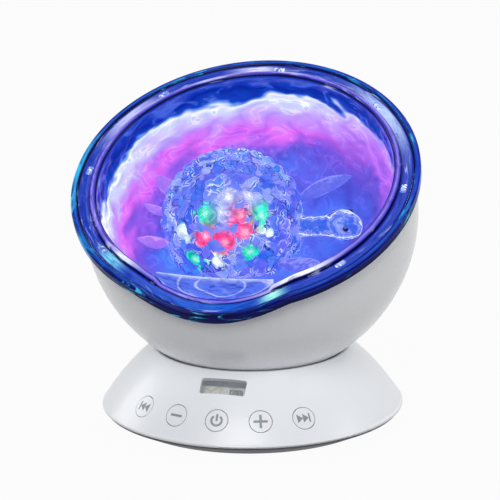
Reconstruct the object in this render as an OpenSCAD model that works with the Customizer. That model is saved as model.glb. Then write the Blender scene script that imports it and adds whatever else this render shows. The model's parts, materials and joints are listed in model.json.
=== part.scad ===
// Ocean wave projector: a ball-shaped lamp head that tilts in the collar of a round base.
// Millimetres. +Z is up, the front is -Y, and the origin is on the table under the middle of the base.

/* [Head] */
// Outer radius of the ball-shaped bowl
bowl_r = 70; // [69:0.5:72]
// Wall of the bowl
bowl_wall = 2.4; // [2:0.1:3]
// Height of the lowest point of the bowl above the table
bowl_lift = 20; // [19:0.5:23]
// Forward tilt of the head as shown
tilt = 30; // [20:1:30]
// Largest forward tilt that the slot in the bowl allows
tilt_max = 30; // [30:1:31]

/* [Rim] */
// How far the clear rim stands out beyond the bowl
rim_over = 3.2; // [2.5:0.1:5]
// Height of the middle of the rim band above the tilt axis
rim_mid = 16; // [15:0.5:18]
// Height of the rim band
rim_h = 4.6; // [4:0.1:5.5]
// Width of the rim band
band_w = 3; // [2.5:0.1:3.5]
// Thickness of the flange inside the rim band
flange_t = 2.6; // [2:0.1:3.2]
// How far the middle of the raised lip ring lies inside the outside of the bowl
lip_in = 6.4; // [6:0.1:7.5]
// Width of the raised lip ring
lip_w = 3; // [2.4:0.1:3.4]
// Height of the raised lip ring above the flange
lip_h = 2.2; // [1.5:0.1:3]
// Width of the dip at the front of the rim
dip_w = 64; // [50:1:68]
// Depth of the dip at the front of the rim
dip_depth = 6.5; // [4:0.5:8]
// Number of places for snap hooks around the rim, with none in the dip
hook_places = 8; // [6:1:10]

/* [Wave bowl] */
// Depth of the floor of the wave bowl below the tilt axis
floor_depth = 20; // [18:0.5:21]
// Thickness of the clear mouldings
clear_t = 2.2; // [1.8:0.1:2.4]
// Radius of the curve from the wall to the floor
side_r = 34; // [31:0.5:36]

/* [Turtle] */
// Radius of the domed shell
shell_r = 30; // [28:0.5:31]
// Sideways place of the shell and of the light engine
shell_x = -10; // [-11:0.5:-8]
// Place of the shell behind the tilt axis
shell_y = 4; // [2:0.5:5]
// Height of the dome centre above the floor
shell_lift = 9.5; // [8:0.5:11]
// Radius of the head
turtle_head_r = 6.5; // [5:0.25:7]
// Distance between the pebbles on the shell
pebble_pitch = 6.5; // [6:0.25:8]
// Height of the pebbles above the shell
pebble_h = 0.6; // [0.4:0.05:0.65]

/* [Light engine] */
// Gear module of the ripple disc and its pinion
gear_m = 1.2; // [1.1:0.05:1.2]
// Teeth on the ripple disc
disc_teeth = 48; // [44:2:48]
// Teeth on the pinion
pinion_teeth = 12; // [12:2:14]
// Radius of the spindle of the ripple disc
spindle_r = 1.5; // [1.25:0.05:2]
// Radius of the motor shaft
shaft_r = 1; // [0.8:0.05:1.25]
// Radius of the motor can
motor_r = 10; // [9:0.25:10.5]
// Height of the motor can
motor_h = 14; // [12:0.5:15]
// Radius of the lamp board
lamp_board_r = 25; // [24:0.5:25.5]
// Radius of one lamp
lamp_r = 2.5; // [1.5:0.1:2.5]
// Radius of the ring of red lamps
red_ring_r = 8.5; // [8:0.25:9]
// Radius of the ring of green lamps
green_ring_r = 16.5; // [15.5:0.25:17]
// Radius of the ring of blue lamps
blue_ring_r = 18; // [17:0.25:19]

/* [Base] */
// Largest radius of the skirt, at its lower edge
edge_r = 63.4; // [62:0.2:66]
// Height of the lower edge of the skirt
edge_z = 6; // [5.5:0.25:7]
// Inner radius of the top of the collar
collar_r = 40.6; // [39.5:0.1:41.5]
// Width of the land on top of the collar
collar_land = 0.9; // [0.7:0.1:1.5]
// Outward bulge of the skirt between its edge and the collar
skirt_bulge = 1.4; // [1:0.1:2]
// Wall of the base
base_wall = 2.2; // [1.8:0.1:2.5]
// Radius of the flat underside
under_r = 53.5; // [52.5:0.5:55]
// Middle radius of the foot ring and of the circle of cover screws
foot_r = 46; // [45:0.25:46.5]

/* [Buttons] */
// Diameter of a button
button_d = 9.2; // [8:0.2:10]
// Travel of a button
button_travel = 0.7; // [0.4:0.1:0.8]
// Height of the middle of the buttons
button_z = 16; // [15:0.5:17]
// Angle between neighbouring buttons
button_pitch = 18.2; // [16:0.2:19]
// Width of the remote-control window
window_w = 19; // [15:0.5:20]
// Length of the remote-control window down the slope
window_h = 7; // [6:0.25:8]
// How far the middle of the remote-control window lies below the top of the collar
window_drop = 4.84; // [4.2:0.02:5.7]

/* [Sockets] */
// Radius of the hole for the audio plug
plug_r = 1.8; // [1.8:0.01:1.85]
// Depth of the hole for the audio plug
plug_depth = 12; // [11:0.5:14]
// Width of the mouth of the power socket
power_w = 7.4; // [7.4:0.1:8.4]
// Height of the mouth of the power socket
power_h = 2.4; // [2.4:0.1:3]
// Spacing of the two sockets
socket_pitch = 18; // [16:0.5:20]
// Height of the middle of the sockets
socket_z = 12.2; // [12:0.1:12.6]

/* [Speaker] */
// Radius of the loudspeaker
speaker_r = 20; // [18:0.5:21]
// Depth of the loudspeaker
speaker_h = 9.5; // [9:0.25:9.75]

/* [Fits] */
// Gap between the ball and the cup of the base
ball_gap = 0.6; // [0.5:0.05:0.8]
// Gap at the seat ring and the friction saddle
rub_gap = 0.3; // [0.25:0.05:0.4]
// Running gap of the shafts
run_gap = 0.05; // [0.03:0.01:0.08]
// Gap around a button
button_gap = 0.3; // [0.25:0.05:0.4]
// Gap between pieces that are fitted together
fit_gap = 0.1; // [0.05:0.01:0.15]
// Radius of the small screws
screw_r = 1.4; // [1.2:0.05:1.5]

/* [Hidden] */
$fn = 96;
arc_fn = 480;
far = 200;
// Hair gap between faces that rest on each other
hair = 0.02;
pivot_z = bowl_lift + bowl_r;
bowl_in_r = bowl_r - bowl_wall;
rim_r = bowl_r + rim_over;
lip_r = bowl_r - lip_in;
cup_r = bowl_r + ball_gap;
cup_wall = 2;

// Rim and wave bowl heights, from the tilt axis
seat_z = rim_mid - rim_h / 2;
rim_top = rim_mid + rim_h / 2;
flange_drop = 0.9;
flange_top = rim_top - flange_drop;
mouth_r = lip_r - lip_w / 2;
side_c = [mouth_r - side_r, side_r - floor_depth];
lip_top = flange_top + lip_h;
dip_r = (dip_w * dip_w / 4 + dip_depth * dip_depth) / (2 * dip_depth);
dip_c = rim_top - dip_depth + dip_r;
dip_steps = 6;
dip_low = seat_z - dip_depth - 2;
bowl_top = seat_z - 0.05;
function ball_at(r, z) = sqrt(r * r - z * z);
function dip_point(x) = [x, dip_c - sqrt(dip_r * dip_r - x * x)];
band_in_r = rim_r - band_w;
edge_cut = 0.7;
hook_w = 6;
hook_t = 1.3;
hook_h = 5;

// Turtle places, in the frame of the wave bowl
shell_z = shell_lift - floor_depth;
neck_r = 4.2;
head_at = [shell_x + shell_r + 17, shell_y, shell_z + 1];
snout_at = head_at + [5.5, 0, -1.6];
fin_t = 2.4;
fin_z = -floor_depth + 3.6;
eye_r = 1.1;

// Pebbles of the shell: rounded caps on a spiral that gives each of them the same room
pebble_edge_r = 0.42 * pebble_pitch;
pebble_rise = shell_r + pebble_h - ball_at(shell_r, pebble_edge_r);
pebble_r = (pebble_edge_r * pebble_edge_r + pebble_rise * pebble_rise) / (2 * pebble_rise);
pebble_drop = pebble_pitch * pebble_pitch / (2 * PI * shell_r * shell_r);
pebble_low = 0.13;
pebble_count = floor((1 - pebble_low) / pebble_drop);
pebble_start = 0.36;
golden_turn = 137.508;

// Light engine heights, from the tilt axis
baffle_t = 1.2;
baffle_z = -floor_depth - clear_t - 0.4 - baffle_t;
baffle_gap = 10.6;
baffle_r = bowl_in_r - baffle_gap;
disc_top = baffle_z - 1.6;
disc_t = 1.6;
gear_h = 3;
hub_r = 4;
hub_up = 0.6;
hub_down = 2.6;
lamp_stem = 3.2;
lamp_room = 1.2;
board_t = 1.6;
board_top = disc_top - gear_h - lamp_room - lamp_stem - lamp_r;
plate_t = 2;
plate_top = board_top - board_t - 3;
plate_gap = 3;
plate_r = ball_at(bowl_in_r, plate_top - plate_t) - plate_gap;
gear_pitch_r = gear_m * disc_teeth / 2;
pinion_pitch_r = gear_m * pinion_teeth / 2;
motor_x = shell_x + gear_pitch_r + pinion_pitch_r;
motor_top = disc_top - gear_h - 4;
backlash = 0.3;
ear_t = 1.2;
ear_l = 14;
shaft_in = 6;
post_r = 3;
plate_screw_edge = 4;
post_edge = 5;
board_screw_edge = 2.7;
plate_screws = [for (a = [60, 180, 300]) (plate_r - plate_screw_edge) * [cos(a), sin(a)]];
post_places = [for (a = [45, 90, 245, 315]) (plate_r - post_edge) * [cos(a), sin(a)]];
board_screw_places = [for (a = [80, 200, 320]) (lamp_board_r - board_screw_edge) * [cos(a), sin(a)]];
harness_hole = [4, -8];
harness_r = 1.2;
lead_r = 0.7;
red_start = 60;
green_start = 40;

// Tilt joint
stem_r = 4.5;
stem_bore_r = 3;
slot_gap = 0.4;
saddle_r = 15;
saddle_t = 2.5;
washer_t = 0.8;
washer_rise = 1;
nut_r = 8.5;
nut_h = 3.6;
stem_flange_r = 11;
stem_flange_t = 2;
washer_r = nut_r - 0.5;
saddle_in_r = bowl_in_r - rub_gap - saddle_t;
washer_z = pivot_z - ball_at(saddle_in_r, washer_r) + 0.05;
nut_z = washer_z + washer_t + washer_rise + 0.05;
stem_top = nut_z + nut_h + 1;
cup_under = pivot_z - cup_r - cup_wall;
seat_angle = 31.5;
seat_w = 3;
seat_t = 1.6;

// Skirt: an arc from the edge to the collar
bead = 1;
collar_z = pivot_z - sqrt(cup_r * cup_r - collar_r * collar_r);
skirt_low = [edge_r, edge_z + bead];
skirt_top = [collar_r + collar_land, collar_z];
skirt_chord = skirt_top - skirt_low;
skirt_half = norm(skirt_chord) / 2;
skirt_r = (skirt_half * skirt_half + skirt_bulge * skirt_bulge) / (2 * skirt_bulge);
skirt_out = [skirt_chord[1], -skirt_chord[0]] / norm(skirt_chord);
skirt_c = (skirt_low + skirt_top) / 2 - (skirt_r - skirt_bulge) * skirt_out;
function skirt_at(z) = [skirt_c[0] + sqrt(skirt_r * skirt_r - pow(z - skirt_c[1], 2)), z];
function skirt_angle(z) = atan2(z - skirt_c[1], skirt_at(z)[0] - skirt_c[0]);

// Bottom cover
under_z = 1;
under_t = 2;
cover_top = edge_z - 0.4;
cover_edge_r = edge_r - 1.4;
foot_w = 8;
foot_groove = 0.6;
inside_z = under_z + under_t;
floor_r = under_r - 1.2;
boss_r = 3.4;
boss_places = [60, 120, 240, 300];
screw_head_r = 2.6;
screw_head_h = 1.6;
// Screw holes: one that the screw passes, one that it bites into
clear_r = screw_r + 0.1;
tap_r = screw_r + 0.05;

// Buttons and their switches
button_r = button_d / 2;
button_flange_r = button_r + 1.2;
button_flange_t = 1;
flange_gap = 0.6;
flex_depth = 7.6;
flex_t = 0.4;
carrier_t = 2;
carrier_foot_w = 2;
carrier_foot_r = floor_r - fit_gap - carrier_foot_w;
switch_h = 1;
switch_r = 2.4;
switch_clear = 0.2;
stem_end = flex_depth - switch_h - switch_clear - button_travel;
strip_half = 7;
strip_angle = 4 * button_pitch + 18;
window_z = collar_z - window_drop;
window_sink = 0.5;
window_t = 1.5;
window_round = 1.2;
window_flange = 1.8;
ir_depth = 8;
ir_board_w = window_w + 2 * window_flange + 6.4;
ir_board_h = 8;
ir_board_t = 1;
ir_x = 4.2;

// Socket pocket in the back of the skirt
pocket_w = socket_pitch + 20;
pocket_h = 8;
pocket_y = 55;
pocket_wall = 2;
jack_w = 7;
jack_nose_r = 3;
power_shell_t = 0.4;
power_depth = 5.5;
power_out_w = power_w + 2 * power_shell_t;
power_out_h = power_h + 2 * power_shell_t;
main_board_y = 28;
main_board_w = 46;
speaker_lip = 2;
magnet_h = 4;
main_board_top = socket_z - 3.2;
main_board_low = main_board_top - board_t;
main_posts = [for (x = [-1, 1]) [x * (main_board_w / 2 - 4), main_board_y + 4]];
chip = [10, 6, 1.5];
plug_block = [8, 4, 3.5];

// Frames

module in_head() {
    translate([0, 0, pivot_z])
    rotate([tilt, 0, 0])
    children();
}

module at_engine(z = 0) {
    in_head()
    translate([shell_x, shell_y, z])
    children();
}

module at_motor(z = 0) {
    in_head()
    translate([motor_x, shell_y, z])
    children();
}

// Local +Z is the outward normal of the skirt, local +Y runs up the slope
module at_skirt(azimuth, z) {
    place = skirt_at(z);
    rotate([0, 0, azimuth])
    translate([0, -place[0], place[1]])
    rotate([90 - skirt_angle(z), 0, 0])
    children();
}

module around(places, z) {
    for (p = places)
        translate([p[0], p[1], z])
        children();
}

// Shared shapes

module tube(r_out, r_in, h) {
    difference() {
        cylinder(r = r_out, h = h);
        translate([0, 0, -1])
        cylinder(r = r_in, h = h + 2);
    }
}

module rod(from, to, r) {
    along = to - from;
    long = norm(along);
    translate(from)
    rotate([0, acos(along[2] / long), atan2(along[1], along[0])])
    cylinder(r = r, h = long);
}

// A pan-head screw that points down, with the underside of its head at z = 0
module screw(long) {
    translate([0, 0, -long])
    cylinder(r = screw_r, h = long + 0.2);
    difference() {
        cylinder(r = screw_head_r, h = screw_head_h);
        for (turn = [0, 90])
            rotate([0, 0, turn])
            translate([-screw_head_r * 0.6, -0.35, screw_head_h - 0.8])
            cube([screw_head_r * 1.2, 0.7, 1]);
    }
}

// Leaf between two arcs, along +X from the origin
module leaf(long, wide, t) {
    r = (long * long + wide * wide) / (4 * wide);
    linear_extrude(t)
    intersection() {
        translate([long / 2, r - wide / 2])
        circle(r);
        translate([long / 2, wide / 2 - r])
        circle(r);
    }
}

// Round-sided lead along a list of points
function lead_side(points, k) =
    let (ahead = points[min(k + 1, len(points) - 1)] - points[max(k - 1, 0)])
    let (side = cross(ahead, [0.31, 0.2, 0.93]))
    side / norm(side);
function lead_ring(points, k, r, sides) =
    let (ahead = points[min(k + 1, len(points) - 1)] - points[max(k - 1, 0)])
    let (u = lead_side(points, k))
    let (w = cross(ahead, u) / norm(ahead))
    [for (s = [0 : sides - 1]) points[k] + r * (cos(360 * s / sides) * u + sin(360 * s / sides) * w)];
function curve_at(p, k, t) =
    let (a = p[max(k - 1, 0)], b = p[k], c = p[k + 1], d = p[min(k + 2, len(p) - 1)])
    (2 * b + (c - a) * t + (2 * a - 5 * b + 4 * c - d) * t * t + (3 * b - 3 * c + d - a) * t * t * t) / 2;
function smooth(p, steps) = concat(
    [for (k = [0 : len(p) - 2]) for (s = [0 : steps - 1]) curve_at(p, k, s / steps)],
    [p[len(p) - 1]]
);

module lead(points, r, sides = 10, steps = 4) {
    path = smooth(points, steps);
    last = len(path) - 1;
    rings = [for (k = [0 : last]) each lead_ring(path, k, r, sides)];
    walls = [
        for (k = [0 : last - 1]) for (s = [0 : sides - 1])
            let (n = (s + 1) % sides)
            [k * sides + s, k * sides + n, (k + 1) * sides + n, (k + 1) * sides + s]
    ];
    start = [for (s = [0 : sides - 1]) sides - 1 - s];
    end = [for (s = [0 : sides - 1]) last * sides + s];
    polyhedron(points = rings, faces = concat(walls, [start], [end]), convexity = 8);
}

// Involute spur gear outline
function involute(a) = tan(a) - a * PI / 180;
function tooth_half(teeth, r) =
    let (pitch_r = gear_m * teeth / 2)
    let (base_r = pitch_r * cos(20))
    90 / teeth - backlash / pitch_r * 45 / PI
    + (involute(20) - involute(acos(min(1, base_r / r)))) * 180 / PI;
function gear_outline(teeth) =
    let (pitch_r = gear_m * teeth / 2)
    let (low = max(pitch_r * cos(20), pitch_r - 1.2 * gear_m))
    let (tip = pitch_r + 0.9 * gear_m)
    let (radii = [low, low + (tip - low) * 0.35, low + (tip - low) * 0.7, tip])
    let (root = pitch_r - 1.25 * gear_m)
    [for (k = [0 : teeth - 1]) let (mid = 360 * k / teeth) each concat(
        [root * [cos(mid - tooth_half(teeth, low)), sin(mid - tooth_half(teeth, low))]],
        [for (r = radii) r * [cos(mid - tooth_half(teeth, r)), sin(mid - tooth_half(teeth, r))]],
        [for (k = [3 : -1 : 0]) let (r = radii[k])
            r * [cos(mid + tooth_half(teeth, r)), sin(mid + tooth_half(teeth, r))]],
        [root * [cos(mid + tooth_half(teeth, low)), sin(mid + tooth_half(teeth, low))]]
    )];

// Base

// Layer of the skirt between two depths under its outer face
module skirt_layer_2d(from, to) {
    intersection() {
        difference() {
            translate(skirt_c)
            circle(skirt_r - from, $fn = arc_fn);
            translate(skirt_c)
            circle(skirt_r - to, $fn = arc_fn);
        }
        translate([0, inside_z])
        square([edge_r, collar_z]);
    }
}

module skirt_layer(from, to) {
    rotate_extrude()
    skirt_layer_2d(from, to);
}

// Everything under the skirt, from a depth below its outer face
module skirt_fill(depth) {
    rotate_extrude()
    intersection() {
        translate(skirt_c)
        circle(skirt_r - depth, $fn = arc_fn);
        translate([25, 0])
        square([edge_r - bead - 25, collar_z - 0.5]);
    }
}

module base_shell_2d() {
    difference() {
        union() {
            intersection() {
                translate(skirt_c)
                circle(skirt_r, $fn = arc_fn);
                translate([0, edge_z + bead])
                square([edge_r + 1, collar_z - edge_z - bead]);
            }
            translate([edge_r - bead, edge_z + bead])
            circle(bead);
            translate([edge_r - bead - base_wall, edge_z])
            square([base_wall, bead + 0.2]);
        }
        translate([0, pivot_z])
        circle(cup_r);
        difference() {
            intersection() {
                translate(skirt_c)
                circle(skirt_r - base_wall, $fn = arc_fn);
                square([edge_r - base_wall, collar_z]);
            }
            translate([0, pivot_z])
            circle(cup_r + cup_wall);
        }
        translate([-1, edge_z - 1])
        square([stem_r + fit_gap + 1, collar_z]);
        seat_ring_2d(fit_gap);
    }
}

module seat_ring_2d(gap) {
    translate([0, pivot_z])
    rotate(seat_angle - 90)
    translate([bowl_r + rub_gap - gap, -seat_w / 2 - gap])
    square([seat_t + 2 * gap, seat_w + 2 * gap]);
}

module button_places() {
    for (k = [-2 : 2])
        at_skirt(k * button_pitch, button_z)
        children();
}

module window_plate(grow, from, to) {
    w = window_w / 2 + grow - window_round;
    h = window_h / 2 + grow - window_round;
    at_skirt(0, window_z)
    translate([0, 0, -to])
    linear_extrude(to - from)
    union() {
        for (x = [-w, w])
            for (y = [-h, h])
                translate([x, y])
                circle(window_round);
        square([2 * w + 2 * window_round, 2 * h], center = true);
        square([2 * w, 2 * h + 2 * window_round], center = true);
    }
}

module pocket(grow) {
    translate([-pocket_w / 2 - grow, pocket_y - grow, socket_z - pocket_h / 2 - grow])
    cube([pocket_w + 2 * grow, 40, pocket_h + 2 * grow]);
}

module base_shell() {
    color("whitesmoke")
    difference() {
        union() {
            rotate_extrude()
            base_shell_2d();
            for (a = boss_places)
                intersection() {
                    rotate([0, 0, a])
                    translate([0, -foot_r, inside_z + hair])
                    cylinder(r = boss_r, h = collar_z);
                    skirt_fill(base_wall / 2);
                }
            intersection() {
                pocket(pocket_wall);
                skirt_fill(0.4);
            }
            for (x = [-1, 1])
                intersection() {
                    at_skirt(0, window_z)
                    translate([x * (ir_board_w / 2 - 1.6), 0, -ir_depth])
                    cylinder(r = 1.3, h = ir_depth);
                    skirt_fill(base_wall / 2);
                }
        }
        for (a = boss_places)
            rotate([0, 0, a])
            translate([0, -foot_r, 0])
            cylinder(r = tap_r, h = 14);
        pocket(0);
        translate([-socket_pitch / 2, pocket_y - 2 * pocket_wall, socket_z])
        rotate([-90, 0, 0])
        cylinder(r = jack_nose_r + fit_gap, h = 3 * pocket_wall);
        translate([socket_pitch / 2, pocket_y - pocket_wall / 2, socket_z])
        cube([power_out_w + 2 * fit_gap, 3 * pocket_wall, power_out_h + 2 * fit_gap], center = true);
        button_places()
        translate([0, 0, -base_wall * 2])
        cylinder(r = button_r + button_gap, h = base_wall * 4);
        window_plate(fit_gap, -3, base_wall + 1);
        for (a = [30, 150, 270])
            rotate([0, 0, a])
            translate([8, 0, 0])
            cylinder(r = tap_r, h = cup_under + 1.5);
    }
}

module cover_plate() {
    rotate_extrude()
    polygon([
        [0, under_z], [under_r, under_z], [cover_edge_r, cover_top - 0.6], [cover_edge_r, cover_top],
        [cover_edge_r - base_wall, cover_top], [floor_r, inside_z], [0, inside_z]
    ]);
}

module bottom_cover() {
    color("gainsboro")
    difference() {
        union() {
            cover_plate();
            around(main_posts, inside_z - 0.5)
            cylinder(r = post_r, h = main_board_low - inside_z + 0.5 - hair);
        }
        around(main_posts, inside_z)
        cylinder(r = tap_r, h = main_board_top);
        translate([0, 0, under_z - 1])
        tube(foot_r + foot_w / 2 + fit_gap, foot_r - foot_w / 2 - fit_gap, 1 + foot_groove);
        for (ring = [0 : 3])
            for (k = [0 : max(0, 6 * ring - 1)])
                rotate([0, 0, ring == 0 ? 0 : 60 * k / ring])
                translate([4 * ring, 0, 0])
                cylinder(r = 1.2, h = 10);
        for (a = boss_places)
            rotate([0, 0, a])
            translate([0, -foot_r, 0]) {
                cylinder(r = clear_r, h = 10);
                cylinder(r = screw_head_r + 0.3, h = under_z + screw_head_h - 0.2);
            }
    }
}

module foot_ring() {
    color("dimgray")
    difference() {
        tube(foot_r + foot_w / 2, foot_r - foot_w / 2, under_z + foot_groove - hair);
        for (a = boss_places)
            rotate([0, 0, a])
            translate([0, -foot_r, -1])
            cylinder(r = screw_head_r + 0.4, h = 10);
    }
}

module cover_screws() {
    color("silver")
    for (a = boss_places)
        rotate([0, 0, a])
        translate([0, -foot_r, under_z + screw_head_h - 0.22])
        mirror([0, 0, 1])
        screw(10);
}

module seat_ring() {
    color("dimgray")
    rotate_extrude()
    seat_ring_2d(0);
}

// Tilt joint

module tilt_post() {
    color("lightgray")
    difference() {
        union() {
            translate([0, 0, cup_under - stem_flange_t - hair])
            cylinder(r = stem_flange_r, h = stem_flange_t);
            translate([0, 0, cup_under - stem_flange_t])
            cylinder(r = stem_r, h = stem_top - cup_under + stem_flange_t);
        }
        cylinder(r = stem_bore_r, h = far);
        for (a = [30, 150, 270])
            rotate([0, 0, a])
            translate([8, 0, 0])
            cylinder(r = clear_r, h = cup_under + 1);
    }
}

module post_screws() {
    color("silver")
    for (a = [30, 150, 270])
        rotate([0, 0, a])
        translate([8, 0, cup_under - stem_flange_t - 2 * hair])
        mirror([0, 0, 1])
        screw(stem_flange_t + 1.4);
}

module friction_saddle() {
    color("dimgray")
    translate([0, 0, pivot_z])
    rotate_extrude()
    intersection() {
        difference() {
            circle(bowl_in_r - rub_gap);
            circle(saddle_in_r);
        }
        translate([stem_r + fit_gap, -far])
        square([saddle_r - stem_r - fit_gap, far]);
    }
}

module spring_washer() {
    color("silver")
    translate([0, 0, washer_z])
    rotate_extrude()
    polygon([
        [stem_r + fit_gap, washer_rise], [washer_r, 0],
        [washer_r, washer_t], [stem_r + fit_gap, washer_rise + washer_t]
    ]);
}

module clamp_nut() {
    color("silver")
    translate([0, 0, nut_z])
    difference() {
        cylinder(r = nut_r, h = nut_h, $fn = 6);
        translate([0, 0, -1])
        cylinder(r = stem_r, h = nut_h + 2);
    }
}

module head_harness() {
    hole = [harness_hole[0], harness_hole[1], plate_top - plate_t / 2];
    pad = [harness_hole[0] - 8, harness_hole[1] + 2, board_top - board_t - 1.4];
    stem_low = cup_under - stem_flange_t;
    under = head_point(hole - [0, 0, 4]);
    color("slategray")
    lead([
        [0, main_board_y + 6, main_board_top + harness_r + hair],
        [0, main_board_y, main_board_top + harness_r + 0.5],
        [0, main_board_y - 6, main_board_top + 4.8],
        [0, 8, stem_low - harness_r - 0.2],
        [0, 3.2, stem_low - harness_r - 0.2],
        [0, 1.2, stem_low - harness_r + 0.1],
        [0, 0.2, cup_under + 1.5],
        [0, 0, stem_top - 2],
        [under[0] / 8, under[1] / 10, stem_top + 0.15 * (under[2] - stem_top)],
        under,
        head_point(hole),
        head_point(hole + [-1.5, 0.4, plate_t / 2 + 1.5]),
        head_point(pad)
    ], harness_r);
}

function head_point(p) = [
    p[0],
    p[1] * cos(tilt) - p[2] * sin(tilt),
    p[1] * sin(tilt) + p[2] * cos(tilt) + pivot_z
];

// Electronics of the base

module main_board() {
    color("seagreen") {
        difference() {
            translate([-main_board_w / 2, main_board_y, main_board_low])
            cube([main_board_w, pocket_y - pocket_wall - main_board_y - 0.6, board_t]);
            around(main_posts, main_board_low - 1)
            cylinder(r = clear_r, h = board_t + 2);
        }
        translate([-chip[0] - 4, main_board_y + 4, main_board_top])
        cube(chip);
        translate([6, main_board_y + 3, main_board_top])
        cube(plug_block);
    }
}

module main_board_screws() {
    color("silver")
    around(main_posts, main_board_top + hair)
    screw(board_t + 3);
}

module audio_socket() {
    front = pocket_y - fit_gap;
    back = front - pocket_wall - plug_depth;
    color("darkslategray")
    difference() {
        union() {
            translate([-(socket_pitch + jack_w) / 2, back, main_board_top + hair])
            cube([jack_w, plug_depth - 0.2, 2 * (socket_z - main_board_top)]);
            translate([-socket_pitch / 2, front, socket_z])
            rotate([90, 0, 0])
            cylinder(r = jack_nose_r, h = pocket_wall + 1);
        }
        translate([-socket_pitch / 2, front + 1, socket_z])
        rotate([90, 0, 0])
        cylinder(r = plug_r, h = plug_depth + 1);
    }
}

module power_socket() {
    front = pocket_y - fit_gap;
    color("silver")
    translate([socket_pitch / 2, 0, 0])
    difference() {
        union() {
            translate([-power_out_w / 2, front - power_depth - 1.5, socket_z - power_out_h / 2])
            cube([power_out_w, power_depth + 1.5, power_out_h]);
            translate([-power_out_w / 2, front - power_depth - 1.5, main_board_top + hair])
            cube([power_out_w, 4, socket_z - main_board_top - hair]);
        }
        difference() {
            translate([-power_w / 2, front - power_depth, socket_z - power_h / 2])
            cube([power_w, power_depth + 1, power_h]);
            translate([-power_w / 2 + 1.2, front - power_depth - 1, socket_z - 0.3])
            cube([power_w - 2.4, power_depth, 0.6]);
        }
    }
}

module base_leads() {
    board_z = main_board_top + lead_r + hair;
    cover_z = inside_z + lead_r + 0.25;
    lip_z = inside_z + speaker_lip + lead_r;
    carrier_end = (carrier_foot_r - lead_r - 0.4) * [sin(26), -cos(26)];
    color("firebrick") {
        lead([
            [-21, main_board_y + 14, board_z], [-24.5, main_board_y + 6, board_z + 0.4],
            [-27, main_board_y - 4, cover_z + 2], [-speaker_r - 4, 6, cover_z],
            [-speaker_r - 1.6, 3, lip_z], [-speaker_r + 1.1, 2, lip_z + 0.4]
        ], lead_r);
        lead([
            [21, main_board_y + 14, board_z], [24.5, main_board_y + 6, board_z + 0.4],
            [30, main_board_y - 6, cover_z + 2], [32, 0, cover_z], [28, -30, cover_z],
            [carrier_end[0], carrier_end[1], cover_z]
        ], lead_r);
    }
}

module speaker_frame() {
    rise = speaker_h - magnet_h - speaker_lip;
    color("dimgray")
    translate([0, 0, inside_z + hair])
    difference() {
        union() {
            tube(speaker_r, speaker_r - 2.5, speaker_lip);
            difference() {
                translate([0, 0, speaker_lip])
                cylinder(r1 = speaker_r - 1, r2 = speaker_r - 9, h = rise);
                translate([0, 0, speaker_lip - 0.1])
                cylinder(r1 = speaker_r - 2.4, r2 = speaker_r - 10.4, h = rise + 0.2);
            }
        }
        for (a = [0 : 60 : 300])
            rotate([0, 0, a + 30])
            translate([speaker_r - 4, 0, speaker_lip + 0.6])
            cylinder(r = 2, h = speaker_h);
    }
}

module speaker_cone() {
    color("black")
    translate([0, 0, inside_z + 0.3])
    rotate_extrude()
    polygon([
        [0, 2.6], [5, 2.2], [speaker_r - 5, 0.7], [speaker_r - 2.6, 0.7], [speaker_r - 2.6, 1.1],
        [speaker_r - 4.8, 1.1], [5, 2.7], [0, 3.1]
    ]);
}

module speaker_magnet() {
    color("gray")
    translate([0, 0, inside_z + speaker_h - magnet_h + 2 * hair])
    cylinder(r = speaker_r * 0.6, h = magnet_h);
}

// Buttons

// Section of the strip behind the buttons, between two depths under the skirt
module strip_2d(from, to) {
    intersection() {
        skirt_layer_2d(from, to);
        translate(skirt_at(button_z))
        rotate(skirt_angle(button_z))
        translate([-20, -strip_half])
        square([20, 2 * strip_half]);
    }
}

module button_arc() {
    rotate([0, 0, -90 - strip_angle / 2])
    rotate_extrude(angle = strip_angle)
    children();
}

module button_carrier() {
    top = flex_depth + flex_t;
    color("whitesmoke")
    button_arc()
    union() {
        strip_2d(top + hair, top + carrier_t);
        intersection() {
            translate(skirt_c)
            circle(skirt_r - top - carrier_t / 2, $fn = arc_fn);
            translate([carrier_foot_r, inside_z + hair])
            square([carrier_foot_w, button_z]);
        }
    }
}

module button_flex() {
    color("goldenrod")
    button_arc()
    strip_2d(flex_depth, flex_depth + flex_t);
}

module dome_switches() {
    color("silver")
    button_places()
    translate([0, 0, -flex_depth + 0.12])
    cylinder(r = switch_r, h = switch_h - 0.12);
}

module button(k) {
    color("whitesmoke") {
        intersection() {
            skirt_layer(0, base_wall + flange_gap + 0.2);
            at_skirt(k * button_pitch, button_z)
            translate([0, 0, -10])
            cylinder(r = button_r, h = 14);
        }
        at_skirt(k * button_pitch, button_z) {
            translate([0, 0, -base_wall - flange_gap - button_flange_t])
            cylinder(r = button_flange_r, h = button_flange_t);
            translate([0, 0, -stem_end])
            cylinder(r = 2, h = stem_end - base_wall - flange_gap);
        }
    }
}

module button_previous() { button(-2); }
module button_minus() { button(-1); }
module button_power() { button(0); }
module button_plus() { button(1); }
module button_next() { button(2); }

// Remote-control receiver

module remote_window() {
    color("slategray", 0.6) {
        intersection() {
            window_plate(0, -3, base_wall + 1);
            skirt_layer(window_sink, base_wall + 0.4);
        }
        intersection() {
            window_plate(window_flange, -3, base_wall + 4);
            skirt_layer(base_wall + 0.06, base_wall + 0.9);
        }
    }
}

module infrared_board() {
    color("seagreen")
    at_skirt(0, window_z)
    translate([-ir_board_w / 2, -ir_board_h / 2, -ir_depth - ir_board_t - hair])
    cube([ir_board_w, ir_board_h, ir_board_t]);
}

module infrared_receiver() {
    color("black")
    at_skirt(0, window_z)
    translate([ir_x, -0.6, -ir_depth]) {
        translate([-2.6, -2.4, 0])
        cube([5.2, 4.8, 2.2]);
        translate([0, 0, 2.2])
        intersection() {
            sphere(r = 1.9);
            cylinder(r = 3, h = 3);
        }
    }
}

// Head

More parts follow.
